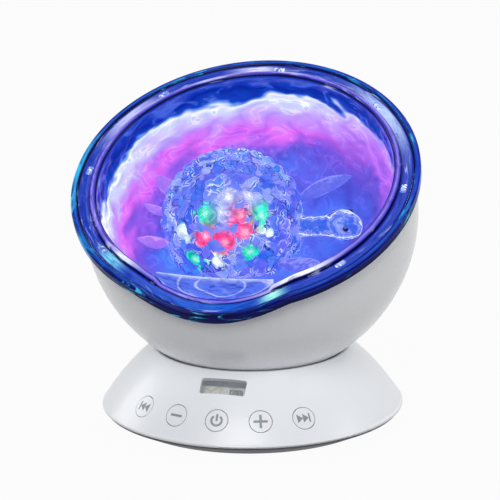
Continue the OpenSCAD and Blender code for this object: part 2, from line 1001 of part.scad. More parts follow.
// Everything above the dip in the front of the rim, lowered by a depth
module dip(depth) {
    translate([0, 0, -depth])
    rotate([90, 0, 0])
    linear_extrude(far)
    polygon(concat(
        [[far, rim_top], [far, far], [-far, far], [-far, rim_top]],
        [for (k = [0 : dip_steps]) dip_point(dip_w * (k / dip_steps - 0.5))]
    ));
}

// Half section of a ball that goes over into a short cone from the foot of the dip to the seat of the rim
module ball_2d(r) {
    low = ball_at(r, dip_low);
    high = ball_at(r, bowl_top) - 0.05;
    slope = (low - high) / (bowl_top - dip_low);
    intersection() {
        circle(r);
        polygon([[0, -far], [low + slope * (far + dip_low), -far], [high, bowl_top], [0, bowl_top]]);
    }
}

module head_bowl() {
    slot_r = stem_r + slot_gap;
    slot_half = slot_r - 0.1;
    color("white")
    in_head()
    difference() {
        union() {
            rotate_extrude()
            difference() {
                ball_2d(bowl_r);
                ball_2d(bowl_in_r);
            }
            intersection() {
                sphere(r = bowl_r - bowl_wall / 2);
                around(plate_screws, -bowl_r)
                cylinder(r = 3.6, h = bowl_r + plate_top - plate_t - hair);
            }
        }
        around(plate_screws, plate_top - plate_t - 8)
        cylinder(r = tap_r, h = 20);
        dip(rim_h);
        for (a = [0, -tilt_max])
            rotate([a, 0, 0])
            translate([0, 0, -bowl_r - 1])
            cylinder(r = slot_r, h = 16);
        rotate([0, 90, 0])
        translate([0, 0, -slot_half])
        rotate_extrude(angle = -tilt_max)
        translate([bowl_r - 15, 0])
        square([16, 2 * slot_half]);
    }
}

// The hollow of the wave bowl, grown outwards
module hollow_2d(grow, top) {
    translate([0, -floor_depth - grow])
    square([side_c[0], floor_depth + grow + top]);
    translate(side_c)
    intersection() {
        circle(side_r + grow);
        translate([0, -far])
        square([far, far]);
    }
    translate([0, side_c[1]])
    square([mouth_r + grow, top - side_c[1]]);
}

module wave_bowl_2d() {
    difference() {
        union() {
            hollow_2d(clear_t, flange_top);
            translate([mouth_r, flange_top - flange_t])
            square([rim_r - mouth_r - edge_cut, flange_t]);
            polygon([
                [band_in_r, seat_z], [rim_r - edge_cut, seat_z], [rim_r, seat_z + edge_cut],
                [rim_r, rim_top - edge_cut], [rim_r - edge_cut, rim_top], [band_in_r, rim_top]
            ]);
            translate([mouth_r, flange_top - 0.2])
            square([lip_w, lip_h - lip_w / 2 + 0.2]);
            translate([lip_r, lip_top - lip_w / 2])
            circle(lip_w / 2);
        }
        hollow_2d(0, lip_top + 1);
    }
}

// The rim's section between two radii, lowered along the dip
module dip_strip(r_in, r_out, from, to) {
    intersection() {
        translate([0, 0, -floor_depth])
        tube(r_out, r_in, floor_depth + rim_top - from - hair);
        translate([-dip_w / 2 - 0.4, -far, -floor_depth])
        cube([dip_w + 0.8, far, far]);
        difference() {
            dip(to);
            dip(from);
        }
    }
}

module snap_hook() {
    r = sqrt(pow(bowl_in_r, 2) - pow(seat_z, 2)) - hook_t - 0.2;
    translate([r, -hook_w / 2, seat_z - hook_h])
    cube([hook_t, hook_w, flange_top - flange_t - seat_z + hook_h + 0.2]);
}

module wave_bowl() {
    color("royalblue", 0.5)
    in_head() {
        difference() {
            rotate_extrude()
            wave_bowl_2d();
            dip(0);
            translate([-dip_w / 2, -far, seat_z - 1])
            intersection() {
                cube([dip_w, far, far]);
                translate([dip_w / 2, far, 0])
                tube(rim_r + 1, mouth_r + clear_t, far);
            }
            translate([shell_x, shell_y, -floor_depth - 10])
            cylinder(r = shell_r - clear_t - 4, h = 12);
        }
        dip_strip(band_in_r - 0.03, rim_r - 0.03, hair, rim_h - hair);
        dip_strip(mouth_r + 0.4, band_in_r + 0.2, flange_drop, flange_drop + flange_t);
        for (k = [1 : hook_places - 1])
            rotate([0, 0, 360 * k / hook_places - 90])
            snap_hook();
    }
}

module fin(from, turn, long, wide, rise) {
    translate(from)
    rotate([0, 0, turn])
    rotate([0, -rise, 0])
    leaf(long, wide, fin_t);
}

module shell_pebbles() {
    for (k = [0 : pebble_count - 1])
        rotate([0, acos(1 - (k + pebble_start) * pebble_drop), golden_turn * k])
        translate([0, 0, shell_r + pebble_h - pebble_r])
        sphere(r = pebble_r, $fn = 48);
}

module turtle_solid() {
    difference() {
        union() {
            translate([shell_x, shell_y, shell_z]) {
                sphere(r = shell_r);
                shell_pebbles();
            }
            translate([shell_x, shell_y, -floor_depth - 1])
            cylinder(r = shell_r, h = shell_lift + 1);
        }
        translate([shell_x, shell_y, shell_z])
        sphere(r = shell_r - clear_t);
        translate([shell_x, shell_y, -floor_depth - 2])
        cylinder(r = shell_r - clear_t, h = shell_lift + 2);
    }
    rod([shell_x + shell_r - 1.2, shell_y, shell_z - 1.5], head_at, neck_r);
    translate(head_at)
    sphere(r = turtle_head_r);
    translate(snout_at)
    sphere(r = turtle_head_r * 0.62);
    for (side = [-1, 1])
        translate(head_at + turtle_head_r * [0.46, 0.8 * side, 0.4])
        sphere(r = eye_r);
    fin([shell_x + shell_r * 0.78, shell_y - shell_r * 0.62, fin_z], -24, 25, 10, 12);
    fin([shell_x + shell_r * 0.78, shell_y + shell_r * 0.62, fin_z], 24, 25, 10, 12);
    fin([shell_x - shell_r * 0.86, shell_y - shell_r * 0.46, fin_z + 3], 205, 14, 8, 30);
    fin([shell_x - shell_r * 0.86, shell_y + shell_r * 0.46, fin_z + 3], 155, 14, 8, 30);
    fin([shell_x - shell_r * 0.96, shell_y + 1, fin_z + 5], 175, 11, 5, 25);
}

module turtle() {
    color("lightsteelblue", 0.6)
    in_head()
    intersection() {
        turtle_solid();
        rotate_extrude()
        hollow_2d(-fit_gap, lip_top + 30);
    }
}

module light_baffle() {
    color("white")
    in_head()
    difference() {
        union() {
            translate([0, 0, baffle_z])
            cylinder(r = baffle_r, h = baffle_t);
            around(post_places, plate_top + hair)
            cylinder(r = post_r, h = baffle_z - plate_top);
        }
        translate([shell_x, shell_y, baffle_z - 1])
        cylinder(r = shell_r - clear_t - 4, h = 4);
        around(post_places, plate_top - 1)
        cylinder(r = tap_r, h = 10);
    }
}

module baffle_screws() {
    color("silver")
    in_head()
    around(post_places, plate_top - plate_t - hair)
    mirror([0, 0, 1])
    screw(plate_t + 6);
}

module chassis_plate() {
    color("white")
    in_head()
    difference() {
        union() {
            translate([0, 0, plate_top - plate_t])
            cylinder(r = plate_r, h = plate_t);
            translate([shell_x, shell_y, plate_top - 0.2])
            around(board_screw_places, 0)
            cylinder(r = post_r, h = board_top - board_t - plate_top + 0.18);
            translate([shell_x, shell_y, plate_top - 0.2])
            cylinder(r = hub_r, h = board_top - board_t - plate_top + 0.18);
        }
        around(plate_screws, plate_top - 5)
        cylinder(r = clear_r, h = 10);
        around(post_places, plate_top - 5)
        cylinder(r = clear_r, h = 10);
        translate([shell_x, shell_y, plate_top - 1])
        around(board_screw_places, 0)
        cylinder(r = tap_r, h = 10);
        translate([shell_x, shell_y, plate_top - plate_t - 1])
        cylinder(r = spindle_r, h = 12);
        translate([motor_x, shell_y, plate_top - 5])
        cylinder(r = motor_r + 0.2, h = 10);
        for (y = [-ear_l, ear_l])
            translate([motor_x, shell_y + y, plate_top - 5])
            cylinder(r = tap_r, h = 10);
        translate([harness_hole[0], harness_hole[1], plate_top - 5])
        cylinder(r = 3.6, h = 10);
    }
}

module chassis_screws() {
    color("silver")
    in_head()
    around(plate_screws, plate_top + hair)
    screw(plate_t + 5);
}

module lamp_board() {
    color("ivory")
    at_engine(board_top - board_t)
    difference() {
        cylinder(r = lamp_board_r, h = board_t);
        translate([0, 0, -1])
        cylinder(r = spindle_r + 0.1, h = board_t + 2);
        around(board_screw_places, -1)
        cylinder(r = clear_r, h = board_t + 2);
    }
}

module board_screws() {
    color("silver")
    at_engine(0)
    around(board_screw_places, board_top + hair)
    screw(board_t + 2.6);
}

module lamps(ring_r, start) {
    at_engine(board_top + hair)
    for (a = [start : 90 : start + 270])
        rotate([0, 0, a])
        translate([ring_r, 0, 0]) {
            cylinder(r = lamp_r, h = lamp_stem);
            translate([0, 0, lamp_stem])
            sphere(r = lamp_r);
        }
}

module red_lamps() { color("crimson") lamps(red_ring_r, red_start); }
module green_lamps() { color("mediumseagreen") lamps(green_ring_r, green_start); }
module blue_lamps() { color("lightskyblue") lamps(blue_ring_r, 0); }

module disc_spindle() {
    color("silver")
    at_engine(0) {
        translate([0, 0, plate_top - plate_t])
        cylinder(r = spindle_r, h = disc_top + hub_up - 0.2 - plate_top + plate_t);
        translate([0, 0, board_top + hair])
        cylinder(r = hub_r - 1, h = disc_top - gear_h - hub_down + disc_t - board_top - 0.3);
    }
}

module ripple_disc() {
    hub_low = disc_top - gear_h - hub_down + disc_t;
    root_r = gear_pitch_r - 1.25 * gear_m;
    color("aliceblue", 0.7)
    at_engine(0)
    difference() {
        union() {
            translate([0, 0, disc_top - gear_h])
            linear_extrude(gear_h)
            polygon(gear_outline(disc_teeth));
            translate([0, 0, hub_low])
            cylinder(r = hub_r, h = disc_top + hub_up - hub_low);
        }
        translate([0, 0, disc_top - gear_h - 1])
        tube(root_r - 1.5, hub_r, gear_h - disc_t + 1);
        translate([0, 0, disc_top - far / 2])
        cylinder(r = spindle_r + run_gap, h = far);
        for (ring = [1, 2])
            for (k = [0 : 5 * ring])
                rotate([0, 0, 360 * k / (5 * ring + 1) + 20 * ring])
                translate([4.5 + 8 * ring - 3, 0, disc_top + 3.4])
                sphere(r = 4.2);
    }
}

module gear_motor() {
    color("silver")
    at_motor(0)
    difference() {
        union() {
            translate([0, 0, motor_top - motor_h])
            cylinder(r = motor_r, h = motor_h);
            translate([-5, -ear_l - 3.4, plate_top + hair])
            cube([10, 2 * ear_l + 6.8, ear_t]);
        }
        translate([0, 0, motor_top - shaft_in])
        cylinder(r = shaft_r + run_gap, h = 20);
        for (y = [-ear_l, ear_l])
            translate([0, y, plate_top - 1])
            cylinder(r = clear_r, h = 10);
    }
}

module motor_screws() {
    color("silver")
    at_motor(0)
    for (y = [-ear_l, ear_l])
        translate([0, y, plate_top + ear_t + 2 * hair])
        screw(ear_t + plate_t);
}

module motor_shaft() {
    color("lightgray")
    at_motor(motor_top - shaft_in + 0.3)
    cylinder(r = shaft_r, h = disc_top + 0.4 - motor_top + shaft_in);
}

module drive_pinion() {
    color("ivory")
    at_motor(disc_top - gear_h - 0.3)
    difference() {
        linear_extrude(gear_h + 0.6)
        rotate(180 / pinion_teeth)
        polygon(gear_outline(pinion_teeth));
        translate([0, 0, -1])
        cylinder(r = shaft_r, h = gear_h + 3);
    }
}

base_shell();
bottom_cover();
foot_ring();
cover_screws();
seat_ring();
tilt_post();
post_screws();
friction_saddle();
spring_washer();
clamp_nut();
head_harness();
main_board();
main_board_screws();
audio_socket();
power_socket();
base_leads();
speaker_frame();
speaker_cone();
speaker_magnet();
button_carrier();
button_flex();
dome_switches();
infrared_board();
infrared_receiver();
remote_window();
button_previous();
button_minus();
button_power();
button_plus();
button_next();
head_bowl();
wave_bowl();
turtle();
light_baffle();
baffle_screws();
chassis_plate();
chassis_screws();
lamp_board();
board_screws();
red_lamps();
green_lamps();
blue_lamps();
disc_spindle();
ripple_disc();
gear_motor();
motor_screws();
motor_shaft();
drive_pinion();
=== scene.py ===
"""Ocean wave projector: finishes, wave bowl, turtle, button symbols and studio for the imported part."""

import json
import math

import bpy
import numpy as np
from mathutils import Matrix, Vector, noise


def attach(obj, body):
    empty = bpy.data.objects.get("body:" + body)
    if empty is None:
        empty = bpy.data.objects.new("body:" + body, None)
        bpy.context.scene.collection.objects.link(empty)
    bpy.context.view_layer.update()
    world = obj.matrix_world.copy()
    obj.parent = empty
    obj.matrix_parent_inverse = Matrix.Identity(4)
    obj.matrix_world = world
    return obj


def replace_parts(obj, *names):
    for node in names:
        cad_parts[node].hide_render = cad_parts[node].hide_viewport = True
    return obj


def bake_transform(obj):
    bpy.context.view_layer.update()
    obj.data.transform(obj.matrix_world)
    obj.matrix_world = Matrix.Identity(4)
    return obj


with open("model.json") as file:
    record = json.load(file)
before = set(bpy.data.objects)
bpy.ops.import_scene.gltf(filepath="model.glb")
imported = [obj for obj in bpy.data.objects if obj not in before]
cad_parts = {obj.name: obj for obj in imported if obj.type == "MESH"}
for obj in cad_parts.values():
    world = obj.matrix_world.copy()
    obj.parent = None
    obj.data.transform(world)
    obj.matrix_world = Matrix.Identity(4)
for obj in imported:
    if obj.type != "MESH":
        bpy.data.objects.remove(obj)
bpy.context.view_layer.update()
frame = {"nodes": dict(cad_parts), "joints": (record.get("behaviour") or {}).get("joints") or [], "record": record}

bl_info = {
    "name": "Ocean wave projector",
    "version": (1, 0, 0),
    "blender": (4, 5, 0),
    "location": "View3D > Sidebar > Wave projector",
    "description": "Dresses the wave projector's solids with its finishes, lit wave bowl, turtle and studio",
    "category": "Object",
}

MM = 0.001
SLOT_OF = {part["node"]: part["material_slot"] for part in frame["record"]["subparts"]}
SLOT_COLOUR = {m["slot"]: tuple(m["base_color"][:3]) for m in frame["record"]["materials"]}

# The lamp head's own frame: its origin is the tilt axis, and its Z stands on the rim. At rest the head leans
# forward by all that the joint can take back.
TILT_JOINT = next(j for j in frame["joints"] if j["name"] == "head_tilt")
HEAD_TILT = math.radians(-min(TILT_JOINT["range_deg"]))
HEAD = Matrix.Translation(TILT_JOINT["pos_m"]) @ Matrix.Rotation(HEAD_TILT, 4, "X")

# Wave bowl section, in millimetres from the tilt axis
RIM_R, BAND_IN_R, RIM_LOW, RIM_TOP = 73.15, 70.2, 13.7, 18.27
FLANGE_TOP, LIP_R, LIP_HALF, LIP_TOP = 17.4, 63.6, 1.5, 19.6
MOUTH_R, SIDE_R, FLOOR = 62.1, 34.0, -20.0
SIDE_X, SIDE_Z = MOUTH_R - SIDE_R, FLOOR + SIDE_R
DIP_HALF, DIP_DEPTH, DIP_POWER = 33.5, 6.5, 1.3
HOOK_R, HOOK_AZIMUTHS = 67.2, (48, 90, 136, 180, 224, 270, 312)

# Turtle places, in millimetres in the head's frame
SHELL = np.array([-10.0, 4.0, -10.5])
SHELL_R = 30.0
PEBBLE_PITCH, PEBBLE_EDGE, PEBBLE_LOW = 6.5, 2.73, 0.13
NECK_INSIDE, NECK_DROP = 2.0, 1.5
TURTLE_HEAD = np.array([37.0, 4.0, -9.5])
EYE_AHEAD, EYE_ASIDE, EYE_UP = 3.0, 5.2, 2.6
EYE_R, EYE_BULGE = 1.35, 0.9

# Skirt of the base: an arc in the half plane, and the row of buttons on it
SKIRT_C, SKIRT_R = (-22.337, -45.264), 100.411
BUTTON_R, BUTTON_Z, BUTTON_PITCH = 57.218, 16.0, 18.2
BUTTON_NAMES = ("previous", "minus", "power", "plus", "next")

# Values between which a noise texture mostly lies
LOW_NOISE, HIGH_NOISE = 0.3, 0.7
BLACK = (0.0, 0.0, 0.0, 1.0)


def srgb(red, green, blue):
    """A colour written as screen values from 0 to 255, as Blender's linear colour."""
    def line(value):
        share = value / 255
        return share / 12.92 if share <= 0.04045 else ((share + 0.055) / 1.055) ** 2.4
    return (line(red), line(green), line(blue), 1.0)


def tone(colour, share):
    """A lighter or darker tone of a colour."""
    return tuple(min(1.0, c * share) for c in colour[:3]) + (1.0,)


def smooth(low, high, x):
    """Zero below low, one above high, and an even curve between them."""
    t = np.clip((x - low) / (high - low), 0, 1)
    return t * t * (3 - 2 * t)


class Finish:
    """A material with a Principled shader and short calls for the nodes that feed it."""
    # Share of its colour that the surface of a lit finish loses
    lit_loss = 0.78

    def __init__(self, name, on_head=False):
        self.material = bpy.data.materials.new(name)
        self.material.use_nodes = True
        self.tree = self.material.node_tree
        self.tree.nodes.clear()
        self.out = self.node("OutputMaterial")
        self.shader = self.node("BsdfPrincipled")
        self.join(self.shader.outputs["BSDF"], self.out.inputs["Surface"])
        if on_head:
            self.place = self.attribute("place", "Vector")
        else:
            self.place = self.node("TexCoord").outputs["Object"]

    def join(self, start, end):
        self.tree.links.new(start, end)

    def feed(self, socket, value):
        """Sets a socket to a plain value, or joins it to the output of another node."""
        if isinstance(value, (int, float, tuple)):
            socket.default_value = value
        else:
            self.join(value, socket)

    def fill(self, node, inputs):
        """Feeds a node's inputs; an underscore stands for the space in an input's name."""
        for name, value in inputs.items():
            self.feed(node.inputs[name.replace("_", " ")], value)
        return node

    def node(self, kind, **inputs):
        return self.fill(self.tree.nodes.new("ShaderNode" + kind), inputs)

    def set(self, **inputs):
        self.fill(self.shader, inputs)
        return self

    def combine(self, kind, operation, *values):
        """The outputs of a node that works out one result from its values."""
        node = self.node(kind)
        node.operation = operation
        for socket, value in zip(node.inputs, values):
            self.feed(socket, value)
        return node.outputs

    def stretch(self, scale):
        return self.node("Mapping", Vector=self.place, Scale=scale).outputs["Vector"]

    def noise(self, scale, detail=3.0, roughness=0.5, distortion=0.0, where=None):
        node = self.node("TexNoise", Scale=scale, Detail=detail, Roughness=roughness, Distortion=distortion,
                         Vector=where or self.place)
        return node.outputs["Fac"]

    def cells(self, scale, feature="F1", where=None, output="Distance"):
        node = self.node("TexVoronoi", Scale=scale, Vector=where or self.place)
        node.feature = feature
        return node.outputs[output]

    def warp(self, scale, reach):
        """Places pushed about by a soft noise, so that a pattern looked up there runs in curls."""
        push = self.node("TexNoise", Scale=scale, Vector=self.place).outputs["Color"]
        return self.combine("VectorMath", "MULTIPLY_ADD", push, (reach,) * 3, self.place)["Vector"]

    def away(self, point):
        """Distance of the place from a point."""
        return self.combine("VectorMath", "DISTANCE", self.place, point)["Value"]

    def math(self, operation, first, second):
        return self.combine("Math", operation, first, second)["Value"]

    def ramp(self, factor, stops):
        node = self.node("ValToRGB", Fac=factor)
        points = node.color_ramp.elements
        while len(points) < len(stops):
            points.new(0.5)
        for point, (at, colour) in zip(points, stops):
            point.position = at
            point.color = tuple(colour[:3]) + (1.0,)
        return node.outputs["Color"]

    def tints(self, factor, *stops):
        """A ramp of screen colours; each stop holds its position and the colour's red, green and blue."""
        return self.ramp(factor, [(at, srgb(*colour)) for at, *colour in stops])

    def tones(self, factor, colour, dark, pale, low=LOW_NOISE, high=HIGH_NOISE):
        """A ramp from a darker to a paler tone of one colour."""
        return self.ramp(factor, [(low, tone(colour, dark)), (high, tone(colour, pale))])

    def span(self, value, low, high, to_low=0.0, to_high=1.0):
        node = self.node("MapRange", Value=value, From_Min=low, From_Max=high, To_Min=to_low, To_Max=to_high)
        return node.outputs["Result"]

    def sway(self, value, low, high):
        """A noise spread out between two values."""
        return self.span(value, LOW_NOISE, HIGH_NOISE, low, high)

    def mix(self, factor, first, second, blend="MIX"):
        node = self.node("Mix")
        node.data_type = "RGBA"
        node.blend_type = blend
        # The node has a set of sockets for each type of value, and these are the ones for colours
        for index, value in zip((0, 6, 7), (factor, first, second)):
            self.feed(node.inputs[index], value)
        return node.outputs[2]

    def axes(self):
        return self.node("SeparateXYZ", Vector=self.place).outputs

    def attribute(self, name, output):
        node = self.node("Attribute")
        node.attribute_name = name
        return node.outputs[output]

    def facing(self, blend):
        return self.node("LayerWeight", Blend=blend).outputs["Facing"]

    def colour(self, socket):
        self.set(Base_Color=socket)

    def rough(self, socket):
        self.set(Roughness=socket)

    def glow(self, socket, strength):
        self.set(Emission_Color=socket, Emission_Strength=strength)

    def lit(self, socket, strength):
        """Clear plastic lit from behind: its own light, and a little of its colour as a surface."""
        self.colour(self.mix(self.lit_loss, socket, BLACK))
        self.glow(socket, strength)

    def bump(self, height, strength, distance):
        node = self.node("Bump", Height=height, Strength=strength, Distance=distance)
        self.set(Normal=node.outputs["Normal"])


def moulded(name, colour, rough=0.35, vary=0.03, grain=0.03, grain_size=0.35, coat=0.0):
    """Moulded plastic: faint clouds of tone, a fine spark grain and uneven gloss."""
    f = Finish(name).set(Coat_Weight=coat, Coat_Roughness=0.08)
    f.colour(f.tones(f.noise(28), colour, 1 - vary, 1 + vary))
    fine = f.noise(1 / (grain_size * MM), 2)
    f.rough(f.sway(fine, rough - 0.05, rough + 0.05))
    f.bump(fine, grain, 0.00005)
    return f


def metal(name, colour, rough=0.3, along=(1, 1, 30)):
    """Plated or drawn metal with fine drawing lines."""
    f = Finish(name).set(Metallic=1.0)
    lines = f.noise(90, 4, where=f.stretch(along))
    f.colour(f.tones(lines, colour, 0.88, 1.08))
    f.rough(f.sway(lines, rough - 0.08, rough + 0.1))
    f.bump(lines, 0.08, 0.0001)
    return f


def board(name, colour, copper):
    """Lacquered circuit board with pale tracks under the lacquer."""
    f = Finish(name).set(Coat_Weight=0.5, Roughness=0.45)
    tracks = f.cells(160, "DISTANCE_TO_EDGE", f.stretch((1, 1, 0.05)))
    ground = f.tones(f.noise(900, 2), colour, 0.88, 1.1, 0.35, 0.65)
    f.colour(f.mix(f.ramp(tracks, [(0.04, (1, 1, 1)), (0.07, (0, 0, 0))]), ground, copper))
    f.bump(tracks, 0.1, 0.0001)
    return f


def lamp(name, colour, strength):
    """Tinted lamp body that glows unevenly."""
    f = Finish(name).set(Roughness=0.12, Coat_Weight=1.0)
    core = f.noise(240, 2)
    f.colour(f.tones(core, colour, 0.7, 1.0))
    f.glow(f.tones(core, colour, 0.8, 1.6, high=0.75), strength)
    return f


def fibre(name, colour, rough=0.85, size=0.5):
    """Soft or fibrous matt skin: rubber, sleeving and cone paper."""
    f = Finish(name).set(Specular_IOR_Level=0.3)
    web = f.noise(1 / (size * MM), 5, 0.7)
    f.colour(f.tones(web, colour, 0.75, 1.2))
    f.rough(f.sway(web, rough - 0.1, rough + 0.1))
    f.bump(web, 0.25, 0.0002)
    return f


def smoked_window(name, colour):
    """Smoked clear plastic, thin enough to show what is behind it."""
    f = Finish(name).set(Roughness=0.08, Alpha=0.17, Coat_Weight=0.3)
    hazy_light = f.noise(120)
    # The window's colour is 2.4 to 2.7 times its smoke grey: painted light for the lit inside behind it.
    f.colour(f.tones(hazy_light, colour, 2.4, 2.7))
    f.bump(hazy_light, 0.05, 0.0001)
    return f


def rippled_disc(name, colour):
    """Clear ripple disc: pale plastic with water rings moulded in."""
    f = Finish(name).set(Roughness=0.06, Transmission_Weight=0.75, IOR=1.49)
    rings = f.noise(220, distortion=1.5)
    f.colour(f.tones(rings, colour, 0.9, 1.05))
    f.bump(rings, 0.5, 0.0006)
    return f


FINISHES = {
    "base_white": lambda n, c: moulded(n, c, 0.36, 0.012, 0.012, coat=0.1),
    "button_white": lambda n, c: moulded(n, c, 0.34, 0.012, 0.012, coat=0.1),
    "bowl_white": lambda n, c: moulded(n, c, 0.3, 0.01, 0.008, coat=0.2),
    # The bottom cover is darkened to 0.42 of its grey: painted shade for the shaded band under the base.
    "cover_grey": lambda n, c: moulded(n, tone(c, 0.42), 0.5, 0.03, 0.05).set(Specular_IOR_Level=0.1),
    "foot_rubber": lambda n, c: fibre(n, c),
    "harness_grey": lambda n, c: fibre(n, c, 0.6, 0.8),
    "lead_red": lambda n, c: fibre(n, c, 0.5, 0.8),
    "cone_paper": lambda n, c: fibre(n, c, 0.9, 0.4),
    "screw_steel": lambda n, c: metal(n, c, 0.25),
    "spring_steel": lambda n, c: metal(n, c, 0.22),
    "socket_metal": lambda n, c: metal(n, c, 0.28),
    "motor_metal": lambda n, c: metal(n, c, 0.3, (1, 1, 12)),
    "board_green": lambda n, c: board(n, c, (0.12, 0.42, 0.2, 1.0)),
    "board_white": lambda n, c: board(n, c, (0.7, 0.66, 0.5, 1.0)),
    "window_smoke": smoked_window,
    "disc_clear": rippled_disc,
    "lamp_red": lambda n, c: lamp(n, c, 2.5),
    "lamp_green": lambda n, c: lamp(n, c, 2.5),
    "lamp_blue": lambda n, c: lamp(n, c, 2.5),
}


def add_piece(name, points, faces, finish, body, where=None, flat=False):
    """A mesh piece that rides on a CAD body. Its points are in millimetres in the frame that where gives,
    and its finish knows them as the place."""
    places = np.asarray(points, float) * MM
    where = where or Matrix.Identity(4)
    spots = places @ np.array(where.to_3x3()).T + np.array(where.translation)
    mesh = bpy.data.meshes.new(name)
    mesh.from_pydata(spots.tolist(), [], [tuple(f) for f in faces])
    layer = mesh.attributes.new("place", "FLOAT_VECTOR", "POINT")
    layer.data.foreach_set("vector", places.astype(np.float32).ravel())
    mesh.polygons.foreach_set("use_smooth", [not flat] * len(mesh.polygons))
    mesh.materials.append(finish.material)
    mesh.update()
    piece = bpy.data.objects.new(name, mesh)
    bpy.context.scene.collection.objects.link(piece)
    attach(piece, body)
    return piece


def add_head_piece(name, points, faces, finish, flat=False):
    """A piece of the lamp head, with its points in the head's own frame."""
    return add_piece(name, points, faces, finish, "head", HEAD, flat)


def paint(piece, colours):
    """Colours the points of a piece; a fourth column is kept as the alpha."""
    full = np.ones((len(colours), 4), np.float32)
    full[:, :np.shape(colours)[1]] = colours
    layer = piece.data.color_attributes.new("lit", "FLOAT_COLOR", "POINT")
    layer.data.foreach_set("color", full.ravel())


def set_flow(piece, places):
    """Keeps a place for each point along its ring, so that streaks can follow the ring."""
    layer = piece.data.attributes.new("flow", "FLOAT_VECTOR", "POINT")
    layer.data.foreach_set("vector", np.asarray(places, np.float32).ravel())


def grid_faces(rows, columns, closed=True):
    """Quads of a grid whose rows run round the piece."""
    last = rows if closed else rows - 1
    k, j = np.meshgrid(np.arange(last), np.arange(columns - 1), indexing="ij")
    n = (k + 1) % rows
    quads = np.stack([k * columns + j, k * columns + j + 1, n * columns + j + 1, n * columns + j], -1)
    return quads.reshape(-1, 4).tolist()


def round_faces(base, rounds, sides):
    """Quads between rounds of points that follow each other from a first point on."""
    faces = []
    for low in range(base, base + (rounds - 1) * sides, sides):
        high = low + sides
        for k in range(sides):
            n = (k + 1) % sides
            faces.append((low + k, low + n, high + n, high + k))
    return faces


def closed_faces(base, rounds, sides):
    """The quads between rounds of points, and a face over each end."""
    last = base + (rounds - 1) * sides
    ends = [tuple(range(base + sides - 1, base - 1, -1)), tuple(range(last, last + sides))]
    return round_faces(base, rounds, sides) + ends


def turned(azimuths, section):
    """Points of a section turned about Z. The section gives radius and height arrays for an azimuth, and
    azimuths count from the front."""
    rows = []
    for a in azimuths:
        r, z = section(a)
        rows.append(np.stack([r * math.sin(a), -r * math.cos(a), z], -1))
    return np.concatenate(rows)


def dip_at(x, y):
    """How far the rim is lowered at a place: a soft dip at the front."""
    share = np.clip(1 - (x / DIP_HALF) ** 2, 0, None)
    return np.where(y < 0, DIP_DEPTH * share ** DIP_POWER, 0.0)


def wall_section(start, count, middle_gap=0.5):
    """Radius, height, inward normal and arc length of the hollow's wall, from an arc length below the flange
    to a small gap in the middle of the floor."""
    straight = FLANGE_TOP - SIDE_Z
    bend = SIDE_R * math.pi / 2
    length = np.linspace(start, straight + bend + SIDE_X - middle_gap, count)
    turn = np.clip((length - straight) / SIDE_R, 0, math.pi / 2)
    r = SIDE_X + SIDE_R * np.cos(turn) - np.clip(length - straight - bend, 0, None)
    z = np.where(length < straight, FLANGE_TOP - length, SIDE_Z - SIDE_R * np.sin(turn))
    return r, z, -np.cos(turn), np.sin(turn), length


class WaveProjectorHead(bpy.types.PropertyGroup):
    """Sizes and lights of the clear head pieces."""
    ripple_height: bpy.props.FloatProperty(
        name="Ripple height", description="Height of the water ripples in the wave bowl",
        default=0.0007, unit="LENGTH")
    pebble_height: bpy.props.FloatProperty(
        name="Pebble height", description="Height of the pebbles on the turtle's shell",
        default=0.0006, unit="LENGTH")
    seam_depth: bpy.props.FloatProperty(
        name="Seam depth", description="Depth of the seams between the pebbles",
        default=0.0005, unit="LENGTH")
    glow: bpy.props.FloatProperty(
        name="Glow", description="Strength of the light in the clear plastic", default=0.9)
    rim_light: bpy.props.FloatVectorProperty(
        name="Rim light", description="Colour of the bright streaks in the rim band",
        default=srgb(58, 196, 236)[:3], size=3, subtype="COLOR")


class WaveProjectorBase(bpy.types.PropertyGroup):
    """Looks of the base and its buttons."""
    symbol_grey: bpy.props.FloatVectorProperty(
        name="Symbol grey", description="Grey of the button symbols",
        default=srgb(138, 146, 150)[:3], size=3, subtype="COLOR")
    symbol_rise: bpy.props.FloatProperty(
        name="Symbol rise", description="How far a symbol stands out of its button",
        default=0.00008, unit="LENGTH")


class WaveProjectorStage(bpy.types.PropertyGroup):
    """Camera of the studio."""
    azimuth: bpy.props.FloatProperty(
        name="Azimuth", description="Camera's turn from the front towards the right",
        default=math.radians(15), subtype="ANGLE")
    elevation: bpy.props.FloatProperty(
        name="Elevation", description="Camera's height above the horizon",
        default=math.radians(15.53), subtype="ANGLE")
    roll: bpy.props.FloatProperty(
        name="Roll", description="Camera's roll about its line of sight",
        default=math.radians(0.56), subtype="ANGLE")
    distance: bpy.props.FloatProperty(
        name="Distance", description="Camera's distance from its target", default=1.5, unit="LENGTH")
    target_height: bpy.props.FloatProperty(
        name="Target height", description="Height of the camera's target above the table",
        default=0.07267, unit="LENGTH")
    lens: bpy.props.FloatProperty(
        name="Lens", description="Focal length on a 36 mm wide sensor", default=258.09)
    shift: bpy.props.FloatProperty(
        name="Shift", description="Sideways shift of the picture, as a share of its width", default=-0.0023)


